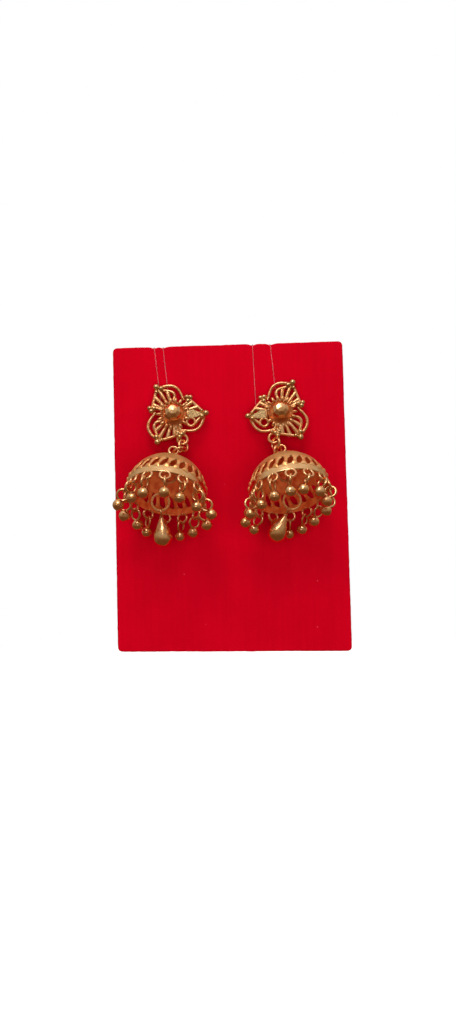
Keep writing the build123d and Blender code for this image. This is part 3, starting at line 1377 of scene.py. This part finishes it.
@dataclass
class LinkRing:
    """A slack jump ring that lies as its CAD node does."""

    node: str
    radius: float
    wire: float
    cut: float

    def build(self, frame: dict, finish: bpy.types.Material) -> bpy.types.Object:
        """Bend the ring where its node lies.

        Args:
            frame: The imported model.
            finish: The finish to dress it in.

        Returns:
            The piece.
        """
        lie = Lie.of(frame["nodes"][self.node])
        bm = bmesh.new()
        jump_ring(bm, lie.frame, self.radius, self.wire, self.cut)
        return set_in_place(
            bm, f"{self.node}_ring", [finish], [self.node], crease=50
        )


# ---- the dome -----------------------------------------------------------------------------


@dataclass
class Dome:
    """The pierced half-sphere with its crown loop, inner loop and rim rings.

    It is built with its rim in the XY plane and its crown up Z.
    """

    hand: Hand
    centre: Vector
    lean: float
    first_drop: float
    pitch: float = 31.5
    radius: float = 10.2
    wall: float = 0.6
    windows: int = 26
    window_latitude: float = 18.6
    window_slant: float = 15.0
    window_half: tuple[float, float] = (0.74, 1.78)
    sheet: float = 0.36
    band_top: float = 9.6
    cap_foot: float = 27.6
    # the bars between the windows: deeper and further out at the foot on the band
    bar_ends: tuple[float, float] = (1.2, 0.6)
    bar_steps: int = 16
    bar_depth: float = 0.24
    bar_sink: float = 0.2
    bar_spare: float = 0.06
    foot_spread: float = 2.4
    foot_depth: float = 0.1
    # the relief near the crown
    relief_sink: float = 0.04
    petals: int = 16
    petal_latitude: float = 72.5
    petal_half: tuple[float, float, float] = (1.15, 0.52, 0.17)
    grain_latitude: float = 67.0
    grain_half: tuple[float, float, float] = (0.24, 0.24, 0.15)
    # the rim rings and the loops, with their spots of solder
    drops: int = 14
    rim_ring: float = 1.25
    rim_wire: float = 0.35
    rim_sink: float = 0.05
    rim_solder: float = 0.42
    solder_drop: float = 0.1
    flare: float = 10.0
    loop_wire: float = 0.34
    crown_loop: float = 13.1
    crown_ring: float = 1.2
    inner_loop: float = 8.7
    inner_ring: float = 1.0
    inner_solder: float = 0.5

    @property
    def frame(self) -> Matrix:
        """Where the rim lies, Z toward the crown.

        Returns:
            The frame.
        """
        lean, pitch = math.radians(self.lean), math.radians(self.pitch)
        crown = Vector((math.cos(pitch) * math.sin(lean), math.sin(pitch),
                        math.cos(pitch) * math.cos(lean)))
        return placed(self.centre, Vector((math.cos(lean), 0, -math.sin(lean))), crown)

    def build(self, finishes: Finishes) -> list[bpy.types.Object]:
        """Build the dome's shell, its pierced gallery and its loops.

        Args:
            finishes: The finishes to dress them in.

        Returns:
            The pieces.
        """
        name = self.hand.label
        shell, gallery, loops = bmesh.new(), bmesh.new(), bmesh.new()
        self.add_band(shell)
        self.add_cap(shell)
        self.add_gallery(gallery)
        self.add_loops(loops)
        self.add_rim_rings(loops)
        cap = self.radius * math.sin(math.radians(self.cap_foot))
        for bm, depth in ((shell, 0.9 * self.sheet), (gallery, self.bar_depth)):
            for face in bm.faces:
                middle = face.calc_center_median()
                if middle.length < self.radius - depth:
                    face.material_index = DomeFace.INSIDE
                else:
                    face.material_index = DomeFace.CAP if middle.z > cap else DomeFace.BELOW
        for bm in (shell, gallery, loops):
            bmesh.ops.transform(bm, matrix=self.frame, verts=bm.verts)
        dent(shell, depth=0.05, size=3.2, seed=11.0 * self.hand.value)
        dent(gallery, depth=0.04, size=0.8, seed=5.0)
        # The inside faces of the shell and gallery take the red gilt, whose colour is a painted
        # reflection of the red card.
        return [
            set_in_place(
                shell, f"{name}_dome_shell",
                [finishes.polished, finishes.raw, finishes.satin],
                [f"{name}_dome"], crease=50,
            ),
            set_in_place(
                gallery, f"{name}_dome_gallery",
                [finishes.pierced, finishes.raw, finishes.pierced], crease=60,
            ),
            set_in_place(loops, f"{name}_dome_loops", [finishes.wire], crease=50),
        ]

    def add_band(self, bm: BMesh) -> None:
        """Add the plain polished band above the rim, its edges rolled.

        Args:
            bm: The mesh to add it to.
        """
        inner = dome_arc(self.radius - self.wall, self.band_top - 0.8, 0.8, 8)
        outer = dome_arc(self.radius, 1.2, self.band_top, 8)
        lip = self.radius - self.wall / 2
        profile = [
            *inner, (lip - 0.36, 0.0), (lip - 0.28, -0.26), (lip, -0.36), (lip + 0.3, -0.24),
            (lip + 0.4, 0.02), *outer,
        ]
        lathe(bm, BENCH, [*profile, profile[0]], steps=156)

    def add_cap(self, bm: BMesh) -> None:
        """Add the cap above the windows, with petals and grains in relief near the crown.

        Args:
            bm: The mesh to add it to.
        """
        outer = self.radius
        profile = dome_arc(outer - self.sheet, 90, self.cap_foot + 0.4, 22)
        profile += dome_arc(outer, self.cap_foot, 90, 24)
        lathe(bm, BENCH, profile, steps=156)
        for petal in range(self.petals):
            azimuth, between = 360 / self.petals * petal, 180 / self.petals
            self.add_relief(bm, azimuth, self.petal_latitude, self.petal_half)
            self.add_relief(bm, azimuth + between, self.grain_latitude, self.grain_half)

    def add_relief(
        self, bm: BMesh, azimuth: float, latitude: float, half: tuple[float, float, float],
    ) -> None:
        """Add a low bead on the dome, its length toward the crown.

        Args:
            bm: The mesh to add it to.
            azimuth: Its azimuth.
            latitude: Its latitude.
            half: Its half sizes, the first toward the crown and the last outward.
        """
        outward = self.outward(azimuth, latitude)
        seat = placed(outward * (self.radius - self.relief_sink), Z_AXIS, outward)
        bead(bm, seat, half, around=14, rings=8)

    @staticmethod
    def outward(azimuth: float, latitude: float) -> Vector:
        """The direction from the dome's centre at an azimuth and a latitude."""
        flat = math.cos(math.radians(latitude))
        return polar(flat, azimuth, math.sin(math.radians(latitude)))

    def add_gallery(self, bm: BMesh) -> None:
        """Add the slanted bars between the windows, each swelling to its two feet.

        Args:
            bm: The mesh to add them to.
        """
        low, high = self.band_top - self.bar_ends[0], self.cap_foot + self.bar_ends[1]
        half_turn, slant = (high - low) / 2, math.radians(self.window_slant)
        half_run = math.radians(half_turn) * self.radius / math.cos(slant)
        half_wide, half_long = self.window_half
        pitch = (2 * math.pi * self.radius * math.cos(math.radians(self.window_latitude))
                 / self.windows * math.cos(slant))
        for bar in range(self.windows):
            middle = 360 / self.windows * (bar + 0.5)
            path, widths, heights = [], [], []
            for step in range(self.bar_steps + 1):
                latitude = low + (high - low) * step / self.bar_steps
                from_middle = latitude - self.window_latitude
                share = abs(from_middle) / half_turn
                window = half_wide * max(0.0, 1 - (share * half_run / half_long) ** 2) ** 0.5
                rise = latitude - self.band_top - self.foot_spread
                foot = math.exp(-((rise / self.foot_spread) ** 2))
                outward = self.outward(middle + math.tan(slant) * from_middle, latitude)
                path.append(outward * (self.radius - self.bar_sink + self.bar_sink * foot))
                widths.append(pitch / 2 + self.bar_spare - window)
                heights.append(self.bar_depth + self.foot_depth * foot)
            up = self.outward(middle, self.window_latitude)
            run_wire(bm, path, widths, heights, up, sides=12)

    def add_loops(self, bm: BMesh) -> None:
        """Add the crown's turned seat and loop, and the loop inside for the chain.

        Args:
            bm: The mesh to add them to.
        """
        top = self.radius
        lathe(
            bm, BENCH,
            [(0, top - 0.2), (1.55, top - 0.25), (1.62, top - 0.06), (1.4, top + 0.1),
             (1.0, top + 0.14), (0.82, top + 0.4), (0.72, top + 0.8), (0.8, top + 1.0),
             (0.84, top + 1.2), (0.7, top + 1.42), (0.42, top + 1.52), (0, top + 1.54)],
            steps=40,
        )
        for height, radius, axis in (
            (self.crown_loop, self.crown_ring, Y_AXIS), (self.inner_loop, self.inner_ring, X_AXIS),
        ):
            ring(bm, placed(Z_AXIS * height, Z_AXIS, axis), radius, self.loop_wire, sides=12)
        solder = Z_AXIS * (top - self.wall - self.rim_sink)
        granule(bm, solder, self.inner_solder, level=3)

    def add_rim_rings(self, bm: BMesh) -> None:
        """Add the rings that the drops hang from, each with its spot of solder.

        Args:
            bm: The mesh to add them to.
        """
        flare = math.radians(self.flare)
        for drop in range(self.drops):
            azimuth = math.radians(self.first_drop + 360 / self.drops * drop)
            outward = Vector((math.sin(azimuth), -math.cos(azimuth), 0))
            along = Vector((math.cos(azimuth), math.sin(azimuth), 0))
            down = outward * math.sin(flare) - Z_AXIS * math.cos(flare)
            rim = outward * (self.radius - self.wall / 2)
            centre = rim + down * (self.rim_ring - self.rim_sink)
            frame = placed(centre, along, along.cross(down))
            ring(bm, frame, self.rim_ring, self.rim_wire, around=40)
            granule(bm, rim + down * self.solder_drop, self.rim_solder, level=3)


# ---- what hangs ---------------------------------------------------------------------------


@dataclass
class BallDrop:
    """A hollow ball on its loop, soldered from two halves."""

    node: str
    loop: float = 1.4
    wire: float = 0.31
    ball: float = 1.45
    sink: float = 0.15

    def build(self, frame: dict, finishes: Finishes, seed: float) -> bpy.types.Object:
        """Build the drop where its node hangs.

        Args:
            frame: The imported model.
            finishes: The finishes to dress it in.
            seed: Where its dents are taken from.

        Returns:
            The piece.
        """
        node = frame["nodes"][self.node]
        lie = Lie.of(node)
        _, low = reach_along(node, lie)
        centre = lie.middle + lie.long_axis * (low - self.ball)
        bm = bmesh.new()
        lathe(bm, placed(centre, lie.thin_axis, lie.long_axis), self.profile(), steps=36)
        dent(bm, depth=0.035, size=1.3, seed=seed)
        above = centre - lie.long_axis * (self.loop + self.ball - self.sink)
        loop = placed(above, lie.long_axis, lie.thin_axis)
        ring(bm, loop, self.loop, self.wire, around=40)
        return set_in_place(
            bm, f"{self.node}_ball", [finishes.polished], [self.node],
            crease=50,
        )

    def profile(self) -> list[tuple[float, float]]:
        """The ball's half outline: a collar, and a seam round the middle.

        Returns:
            Its points from top to foot.
        """
        turned = [
            (self.ball * math.sin(math.radians(turn)), -self.ball * math.cos(math.radians(turn)))
            for turn in (22, 30, 39, 48, 57, 66, 75, 83, 88.6)
        ]
        seam = self.ball - 0.02
        below = [(reach, -height) for reach, height in reversed(turned)]
        top = -self.ball
        return [
            (0, top - 0.14), (0.3, top - 0.12), (0.44, top - 0.02), (0.48, top + 0.08), *turned,
            (seam, 0), *below, (0.28, self.ball - 0.03), (0, self.ball),
        ]


@dataclass
class Teardrop:
    """The polished drop that the chain inside the dome carries."""

    node: str
    eye: float = 1.1
    wire: float = 0.25
    length: float = 7.9
    belly: float = 2.4
    neck: float = 0.5
    shoulder: float = 2.3
    sink: float = 0.15

    def build(self, frame: dict, finishes: Finishes, seed: float) -> bpy.types.Object:
        """Build the teardrop where its node hangs.

        Args:
            frame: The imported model.
            finishes: The finishes to dress it in.
            seed: Where its dents are taken from.

        Returns:
            The piece.
        """
        node = frame["nodes"][self.node]
        lie = Lie.of(node)
        high, _ = reach_along(node, lie)
        eye = lie.middle + lie.long_axis * (high + self.eye + self.wire)
        hanging = placed(eye, lie.thin_axis, lie.long_axis)
        bm = bmesh.new()
        lathe(bm, hanging, self.profile(), steps=56)
        dent(bm, depth=0.09, size=1.7, seed=seed)
        ring(bm, placed(eye, lie.long_axis, lie.thin_axis), self.eye, self.wire, around=40)
        return set_in_place(
            bm, f"{self.node}_drop", [finishes.polished], [self.node],
            crease=50,
        )

    def profile(self) -> list[tuple[float, float]]:
        """The drop's half outline, with a small turned collar.

        Returns:
            Its points from the neck to the foot.
        """
        top = self.eye - self.sink
        middle = top + self.length - self.belly
        flank = []
        for step in range(1, 16):
            share = step / 15
            swell = share * share * (3 - 2 * share)
            start = share * (1 - share) ** 2 * self.shoulder
            flank.append((self.neck * (1 - swell) + self.belly * swell + start,
                          top + 0.5 + (middle - top - 0.5) * share))
        foot = [
            (self.belly * math.cos(math.radians(turn)),
             middle + self.belly * math.sin(math.radians(turn)))
            for turn in range(7, 90, 8)
        ]
        return [
            (0, top), (self.neck, top + 0.02), (self.neck + 0.14, top + 0.2),
            (self.neck + 0.16, top + 0.34), (self.neck + 0.02, top + 0.52),
            *flank, *foot, (0, middle + self.belly),
        ]


# ---- thread and card ----------------------------------------------------------------------


@dataclass(frozen=True)
class Strand:
    """One strand of a tie: where it crosses the top edge and where it goes through."""

    top_x: float
    foot_x: float
    foot_z: float


@dataclass
class TieThread:
    """The nylon loop that ties a stud to its card, over the top edge and through to the back."""

    hand: Hand
    strands: tuple[Strand, Strand]
    card_thick: float = 1.5
    lift: float = 0.16
    radius: float = 0.1
    bend: float = 0.3
    stride: float = 0.8
    sway: float = 0.05
    sway_length: float = 2.3
    knot_radius: float = 0.24
    knot_turns: tuple[float, ...] = (0.4, 1.6, 2.7)

    def route(self, top: float) -> list[Vector]:
        """The corners of the loop, from the back of one strand round to the other's.

        Args:
            top: The height at which it crosses the card's edge.

        Returns:
            The corners.
        """
        front, back = -self.card_thick - self.lift, self.lift
        first, second = (
            [Vector((strand.top_x, back, top)), Vector((strand.top_x, front, top)),
             Vector((strand.foot_x, front, strand.foot_z)),
             Vector((strand.foot_x, back, strand.foot_z))]
            for strand in self.strands
        )
        return first + second[::-1]

    def rounded(self, corners: Path) -> list[Vector]:
        """The closed run through the corners, each taken in a short bend.

        Args:
            corners: The corners.

        Returns:
            The points along it.
        """
        count = len(corners)
        path = []
        for index, corner in enumerate(corners):
            before, after = corners[index - 1], corners[(index + 1) % count]
            start = corner + (before - corner).normalized() * self.bend
            end = corner + (after - corner).normalized() * self.bend
            for step in range(5):
                t = step / 4
                path.append(start * (1 - t) ** 2 + corner * 2 * t * (1 - t) + end * t**2)
            run = (after - corner).length - 2 * self.bend
            way = (after - corner).normalized()
            parts = max(2, round(run / self.stride))
            path += [end + way * run * part / parts for part in range(1, parts)]
        return path

    def build(self, finishes: Finishes, top: float) -> bpy.types.Object:
        """Run the thread and tie its knot behind the card.

        Args:
            finishes: The finishes to dress it in.
            top: The height of the card's edge where it crosses.

        Returns:
            The piece.
        """
        name = self.hand.label
        path = self.rounded(self.route(top + 0.1))
        half = len(path) // 2
        path = path[half:] + path[:half] + [path[half]]
        bm = bmesh.new()
        swayed = [
            point + X_AXIS * (self.sway * noise.noise(point / self.sway_length))
            for point in path
        ]
        askew = Vector((0.3, 0.8, 0.52))  # no stretch of the loop runs this way
        round_wire(bm, swayed, self.radius, askew, sides=8)
        knot = path[0] + Vector((0, 0.06, 0))
        for turn in self.knot_turns:
            lean = Vector((math.cos(turn), 0.5, math.sin(turn)))
            turned = placed(knot, Y_AXIS, lean)
            ring(bm, turned, self.knot_radius, self.radius * 0.9, around=18, sides=8)
        return set_in_place(
            bm, f"{name}_tie", [finishes.nylon], [f"{name}_tie_thread"],
            crease=60,
        )


@dataclass
class DisplayCard:
    """The flocked card, cut by hand, soft at its edges and pinched where the threads cross."""

    ties: tuple[TieThread, TieThread]
    studs: tuple[Stud, Stud]
    thick: float = 1.5
    corner_radius: float = 1.2
    corners: tuple[tuple[float, float], ...] = (
        (-30.0, -0.3), (29.7, 0.3), (30.6, -80.3), (-30.3, -79.3),
    )
    dip: float = 0.34
    dip_width: float = 1.0
    edge_cuts: int = 130
    ragged: float = 0.07
    fibre: float = 0.9
    wander: float = 7.0
    wander_share: float = 0.8
    edge_round: float = 0.42
    post_hole: float = 0.62
    needle_hole: float = 0.26
    drill: float = 4.0

    def top_at(self, x: float) -> float:
        """The height of the straight top edge at a place along it."""
        (left, left_z), (right, right_z) = self.corners[:2]
        return left_z + (right_z - left_z) * (x - left) / (right - left)

    def pinch(self, x: float) -> float:
        """How deep the threads press into the top edge at a place along it.

        Args:
            x: The place.

        Returns:
            The depth there.
        """
        return max(
            self.dip * math.exp(-(((x - strand.top_x) / self.dip_width) ** 2))
            for tie in self.ties for strand in tie.strands
        )

    def build(self, finishes: Finishes) -> bpy.types.Object:
        """Cut the card, press its edge and pierce it.

        Args:
            finishes: The finishes to dress it in.

        Returns:
            The piece.
        """
        bm = bmesh.new()
        verts = [bm.verts.new((x, -self.thick, z)) for x, z in self.corners]
        bm.faces.new(verts)
        bmesh.ops.bevel(
            bm, geom=bm.verts[:], offset=self.corner_radius, offset_type="OFFSET", segments=7,
            profile=0.5, affect="VERTICES", material=-1, clamp_overlap=True,
        )
        four_sides = [edge for edge in bm.edges if edge.calc_length() > 2 * self.corner_radius]
        bmesh.ops.subdivide_edges(bm, edges=four_sides, cuts=self.edge_cuts)
        middle = Vector((0, -self.thick, -40))
        for vert in bm.verts:
            away = (vert.co - middle).normalized()
            vert.co += away * self.ragged * (
                noise.noise(vert.co / self.fibre)
                + self.wander_share * noise.noise(vert.co / self.wander)
            )
            if abs(vert.co.z - self.top_at(vert.co.x)) < 0.5:
                vert.co.z -= self.pinch(vert.co.x)
        back = bmesh.ops.extrude_face_region(bm, geom=bm.faces[:])["geom"]
        bmesh.ops.translate(
            bm, vec=(0, self.thick, 0), verts=[item for item in back if isinstance(item, BMVert)]
        )
        rims = [edge for edge in bm.edges if abs(edge.verts[0].co.y - edge.verts[1].co.y) < WELD]
        bmesh.ops.bevel(
            bm, geom=rims, offset=self.edge_round, offset_type="OFFSET", segments=4,
            profile=0.5, affect="EDGES", material=-1, clamp_overlap=True,
        )
        self.pierce(bm)
        return set_in_place(
            bm, "display_card", [finishes.velvet], ["card"], crease=65
        )

    def pierce(self, bm: BMesh) -> None:
        """Cut the holes for the posts and the needle.

        Args:
            bm: The card.
        """
        cutters = bmesh.new()
        for stud in self.studs:
            depth = (stud.centre.y + self.thick / 2) / math.cos(math.radians(stud.tilt))
            middle = stud.frame @ Vector((0, 0, depth))
            axis = stud.frame.col[2].xyz
            self.add_drill(cutters, placed(middle, X_AXIS, axis), self.post_hole)
        for tie in self.ties:
            for strand in tie.strands:
                middle = Vector((strand.foot_x, -self.thick / 2, strand.foot_z))
                self.add_drill(cutters, placed(middle, X_AXIS, Y_AXIS), self.needle_hole)
        carve(bm, cutters)

    def add_drill(self, bm: BMesh, frame: Matrix, radius: float) -> None:
        """Add a drill's cylinder, long enough to go through the card.

        Args:
            bm: The mesh to add it to.
            frame: Its middle, Z along it.
            radius: Its radius.
        """
        bmesh.ops.create_cone(
            bm, cap_ends=True, segments=20, radius1=radius, radius2=radius, depth=self.drill,
            matrix=frame,
        )


def carve(bm: BMesh, cutters: BMesh) -> None:
    """Cut some shapes out of a mesh.

    Args:
        bm: The mesh to cut, which is changed in place.
        cutters: What to cut out of it, which is freed.
    """
    objects = []
    for name, source in (("stock", bm), ("drills", cutters)):
        bmesh.ops.recalc_face_normals(source, faces=source.faces)
        mesh = bpy.data.meshes.new(name)
        source.to_mesh(mesh)
        objects.append(show(name, mesh))
    cutters.free()
    stock, drills = objects
    cut = stock.modifiers.new("cut", "BOOLEAN")
    cut.operation, cut.solver, cut.object = "DIFFERENCE", "EXACT", drills
    graph = bpy.context.evaluated_depsgraph_get()
    done = bpy.data.meshes.new_from_object(stock.evaluated_get(graph))
    bm.clear()
    bm.from_mesh(done)
    for item in objects:
        bpy.data.objects.remove(item)
    bpy.data.meshes.remove(done)


# ---- the pair -----------------------------------------------------------------------------


@dataclass
class Earring:
    """One earring: its stud, links, dome, drops, chain and teardrop, and what holds it."""

    hand: Hand
    stud: Stud
    dome: Dome
    strands: tuple[Strand, Strand]
    tie: TieThread = field(init=False)
    ring_wire: float = 0.33
    link_radius: float = 1.5
    link_cuts: tuple[float, float] = (70.0, 250.0)
    chain_radii: tuple[float, ...] = (2.15, 2.15, 2.2)
    chain_cut: float = 35.0
    drop_seed: float = 7.3
    teardrop_seed: float = 1.7

    def __post_init__(self) -> None:
        """Give the earring the thread that ties it."""
        self.tie = TieThread(self.hand, self.strands)

    def build(self, frame: dict, finishes: Finishes, card: DisplayCard) -> None:
        """Build every piece of the earring.

        Args:
            frame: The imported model.
            finishes: The finishes to dress it in.
            card: The card that it is tied to.
        """
        name, sign = self.hand.label, self.hand.value
        self.stud.build(finishes)
        PushNut(self.stud).build(finishes)
        for number, cut in enumerate(self.link_cuts, start=1):
            link = LinkRing(f"{name}_link_{number}", self.link_radius, self.ring_wire, cut)
            link.build(frame, finishes.wire)
        self.dome.build(finishes)
        for number in range(1, self.dome.drops + 1):
            drop = BallDrop(f"{name}_drop_{number:02d}")
            drop.build(frame, finishes, seed=self.drop_seed * number * sign)
        for number, radius in enumerate(self.chain_radii, start=1):
            cut = self.chain_cut * number
            link = LinkRing(f"{name}_inner_link_{number}", radius, self.ring_wire, cut)
            link.build(frame, finishes.pierced)
        Teardrop(f"{name}_teardrop").build(frame, finishes, seed=self.teardrop_seed * sign)
        strand_tops = [card.top_at(strand.top_x) - card.dip for strand in self.strands]
        self.tie.build(finishes, sum(strand_tops) / len(strand_tops))


def pair_of_earrings() -> tuple[Earring, Earring]:
    """The two earrings as they hang, each the other's mirror image but for how it settled.

    Returns:
        The left one and the right one.
    """
    left = Earring(
        hand=Hand.LEFT,
        stud=Stud(Hand.LEFT, Vector((-14.5, -3.3, -18.1)), spin=0.0, eye_angle=288.6),
        dome=Dome(Hand.LEFT, Vector((-16.4, -11.9, -38.5)), lean=9.5, first_drop=-2.0),
        strands=(Strand(-19.2, -17.6, -16.2), Strand(-16.9, -15.6, -15.0)),
    )
    right = Earring(
        hand=Hand.RIGHT,
        stud=Stud(Hand.RIGHT, Vector((13.1, -3.3, -18.1)), spin=187.0, eye_angle=254.6),
        dome=Dome(Hand.RIGHT, Vector((14.6, -11.9, -38.65)), lean=-8.5, first_drop=3.0),
        strands=(Strand(6.3, 6.9, -16.4), Strand(10.9, 12.3, -14.8)),
    )
    return left, right


# ---- the studio ---------------------------------------------------------------------------


@dataclass(frozen=True)
class SoftBox:
    """An area light: where it is and where it points, in millimetres, its size and power."""

    name: str
    place: tuple[float, float, float]
    aim: tuple[float, float, float]
    size: float
    watts: float
    colour: Colour = (1.0, 1.0, 1.0)
    glints: bool = True

    def build(self) -> None:
        """Hang the light, out of the metal's reflections if it makes no glints."""
        lamp = bpy.data.lights.new(self.name, "AREA")
        lamp.shape = "SQUARE"
        lamp.size = self.size * MM
        lamp.energy = self.watts
        lamp.color = self.colour
        item = show(self.name, lamp)
        place, aim = Vector(self.place) * MM, Vector(self.aim) * MM
        item.location = place
        item.rotation_mode = "QUATERNION"
        item.rotation_quaternion = (aim - place).to_track_quat("-Z", "Y")
        item.visible_glossy = self.glints


@dataclass(frozen=True)
class Studio:
    """The pale room, its soft lights and the camera in front of the card.

    The room's light is given from straight down, 0, to straight up, 1.
    """

    eye: tuple[float, float, float] = (-0.93, -301.2, -43.5)
    lens: float = 40.565
    roll: float = -1.2
    floor_drop: float = 420.0
    floor_size: float = 3000.0
    floor_grey: Colour = (0.93, 0.93, 0.93)
    floor_glow: float = 0.75
    room_light: tuple[tuple[float, Colour], ...] = (
        (0.25, (0.15, 0.072, 0.035)), (0.46, (0.22, 0.135, 0.08)), (0.58, (0.37, 0.32, 0.25)),
        (0.72, (0.42, 0.39, 0.34)), (0.97, (0.8, 0.78, 0.74)),
    )
    lights: tuple[SoftBox, ...] = (
        SoftBox("key_light", (-80, -430, 470), (0, 0, -35), 230, 1.7, (1.0, 0.95, 0.9)),
        SoftBox("top_light", (10, -75, 330), (0, -12, -35), 190, 0.2, glints=False),
        SoftBox("wash_light", (40, -760, -300), (0, 0, -60), 1100, 8.2, glints=False),
    )

    def build(self) -> None:
        """Set up the room, the lights and the camera."""
        self.add_camera()
        self.add_floor()
        self.add_room()
        for light in self.lights:
            light.build()
        bpy.context.scene.view_settings.view_transform = "Standard"

    def add_camera(self) -> None:
        """Stand the camera in front of the card, looking into the wall."""
        camera = bpy.data.cameras.new("camera")
        camera.lens = self.lens
        camera.clip_start, camera.clip_end = 0.01, 10
        item = show("camera", camera)
        item.matrix_world = (
            Matrix.Translation(Vector(self.eye) * MM)
            @ Matrix.Rotation(math.pi / 2, 4, "X")
            @ Matrix.Rotation(math.radians(self.roll), 4, "Z")
        )
        bpy.context.scene.camera = item

    def add_floor(self) -> None:
        """Lay the pale floor well below the card, out of the metal's reflections."""
        bm = bmesh.new()
        bmesh.ops.create_grid(
            bm, x_segments=2, y_segments=2, size=self.floor_size,
            matrix=Matrix.Translation((0, 0, -self.floor_drop)),
        )
        floor = off_the_bench(bm, "floor")
        board = MaterialBoard(
            "pale_floor", Roughness=0.9, Base_Color=(*self.floor_grey, 1),
            Emission_Color=(1, 1, 1, 1), Emission_Strength=self.floor_glow,
        )
        floor.data.materials.append(board.material)
        floor.visible_glossy = False
        floor.visible_diffuse = False

    def add_room(self) -> None:
        """Fill the room: white behind the card, light above and dark below in the metal."""
        world = bpy.data.worlds.new("room")
        bpy.context.scene.world = world
        world.use_nodes = True
        board = NodeBoard(world.node_tree)
        where = board.add("ShaderNodeTexCoord").outputs["Generated"]
        split = board.add("ShaderNodeSeparateXYZ")
        board.feed(split, Vector=where)
        ramp = board.add("ShaderNodeValToRGB")
        stops = ramp.color_ramp.elements
        for position, _ in self.room_light[1:-1]:
            stops.new(position)
        for stop, (position, shade) in zip(stops, self.room_light):
            stop.position, stop.color = position, (*shade, 1)
        board.feed(ramp, Fac=board.stretch(split.outputs["Z"], low=-1, high=1))
        room = board.add("ShaderNodeBackground", Strength=1.0)
        board.feed(room, Color=ramp.outputs["Color"])
        white = board.add("ShaderNodeBackground", Strength=1.0, Color=(1, 1, 1, 1))
        choose = board.add("ShaderNodeMixShader")
        board.feed(choose, Fac=board.add("ShaderNodeLightPath").outputs["Is Camera Ray"])
        board.join(room.outputs["Background"], choose.inputs[1])
        board.join(white.outputs["Background"], choose.inputs[2])
        board.feed(board.add("ShaderNodeOutputWorld"), Surface=choose.outputs["Shader"])


def main() -> None:
    """Load the frame, build the pair and its card, and set up the studio."""
    logging.basicConfig(level=logging.INFO, format="%(message)s")
    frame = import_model()
    finishes = Finishes.mixed()
    pair = pair_of_earrings()
    card = DisplayCard(
        ties=tuple(earring.tie for earring in pair),
        studs=tuple(earring.stud for earring in pair),
    )
    card.build(finishes)
    for earring in pair:
        earring.build(frame, finishes, card)
    Studio().build()


if __name__ == "__main__":
    main()
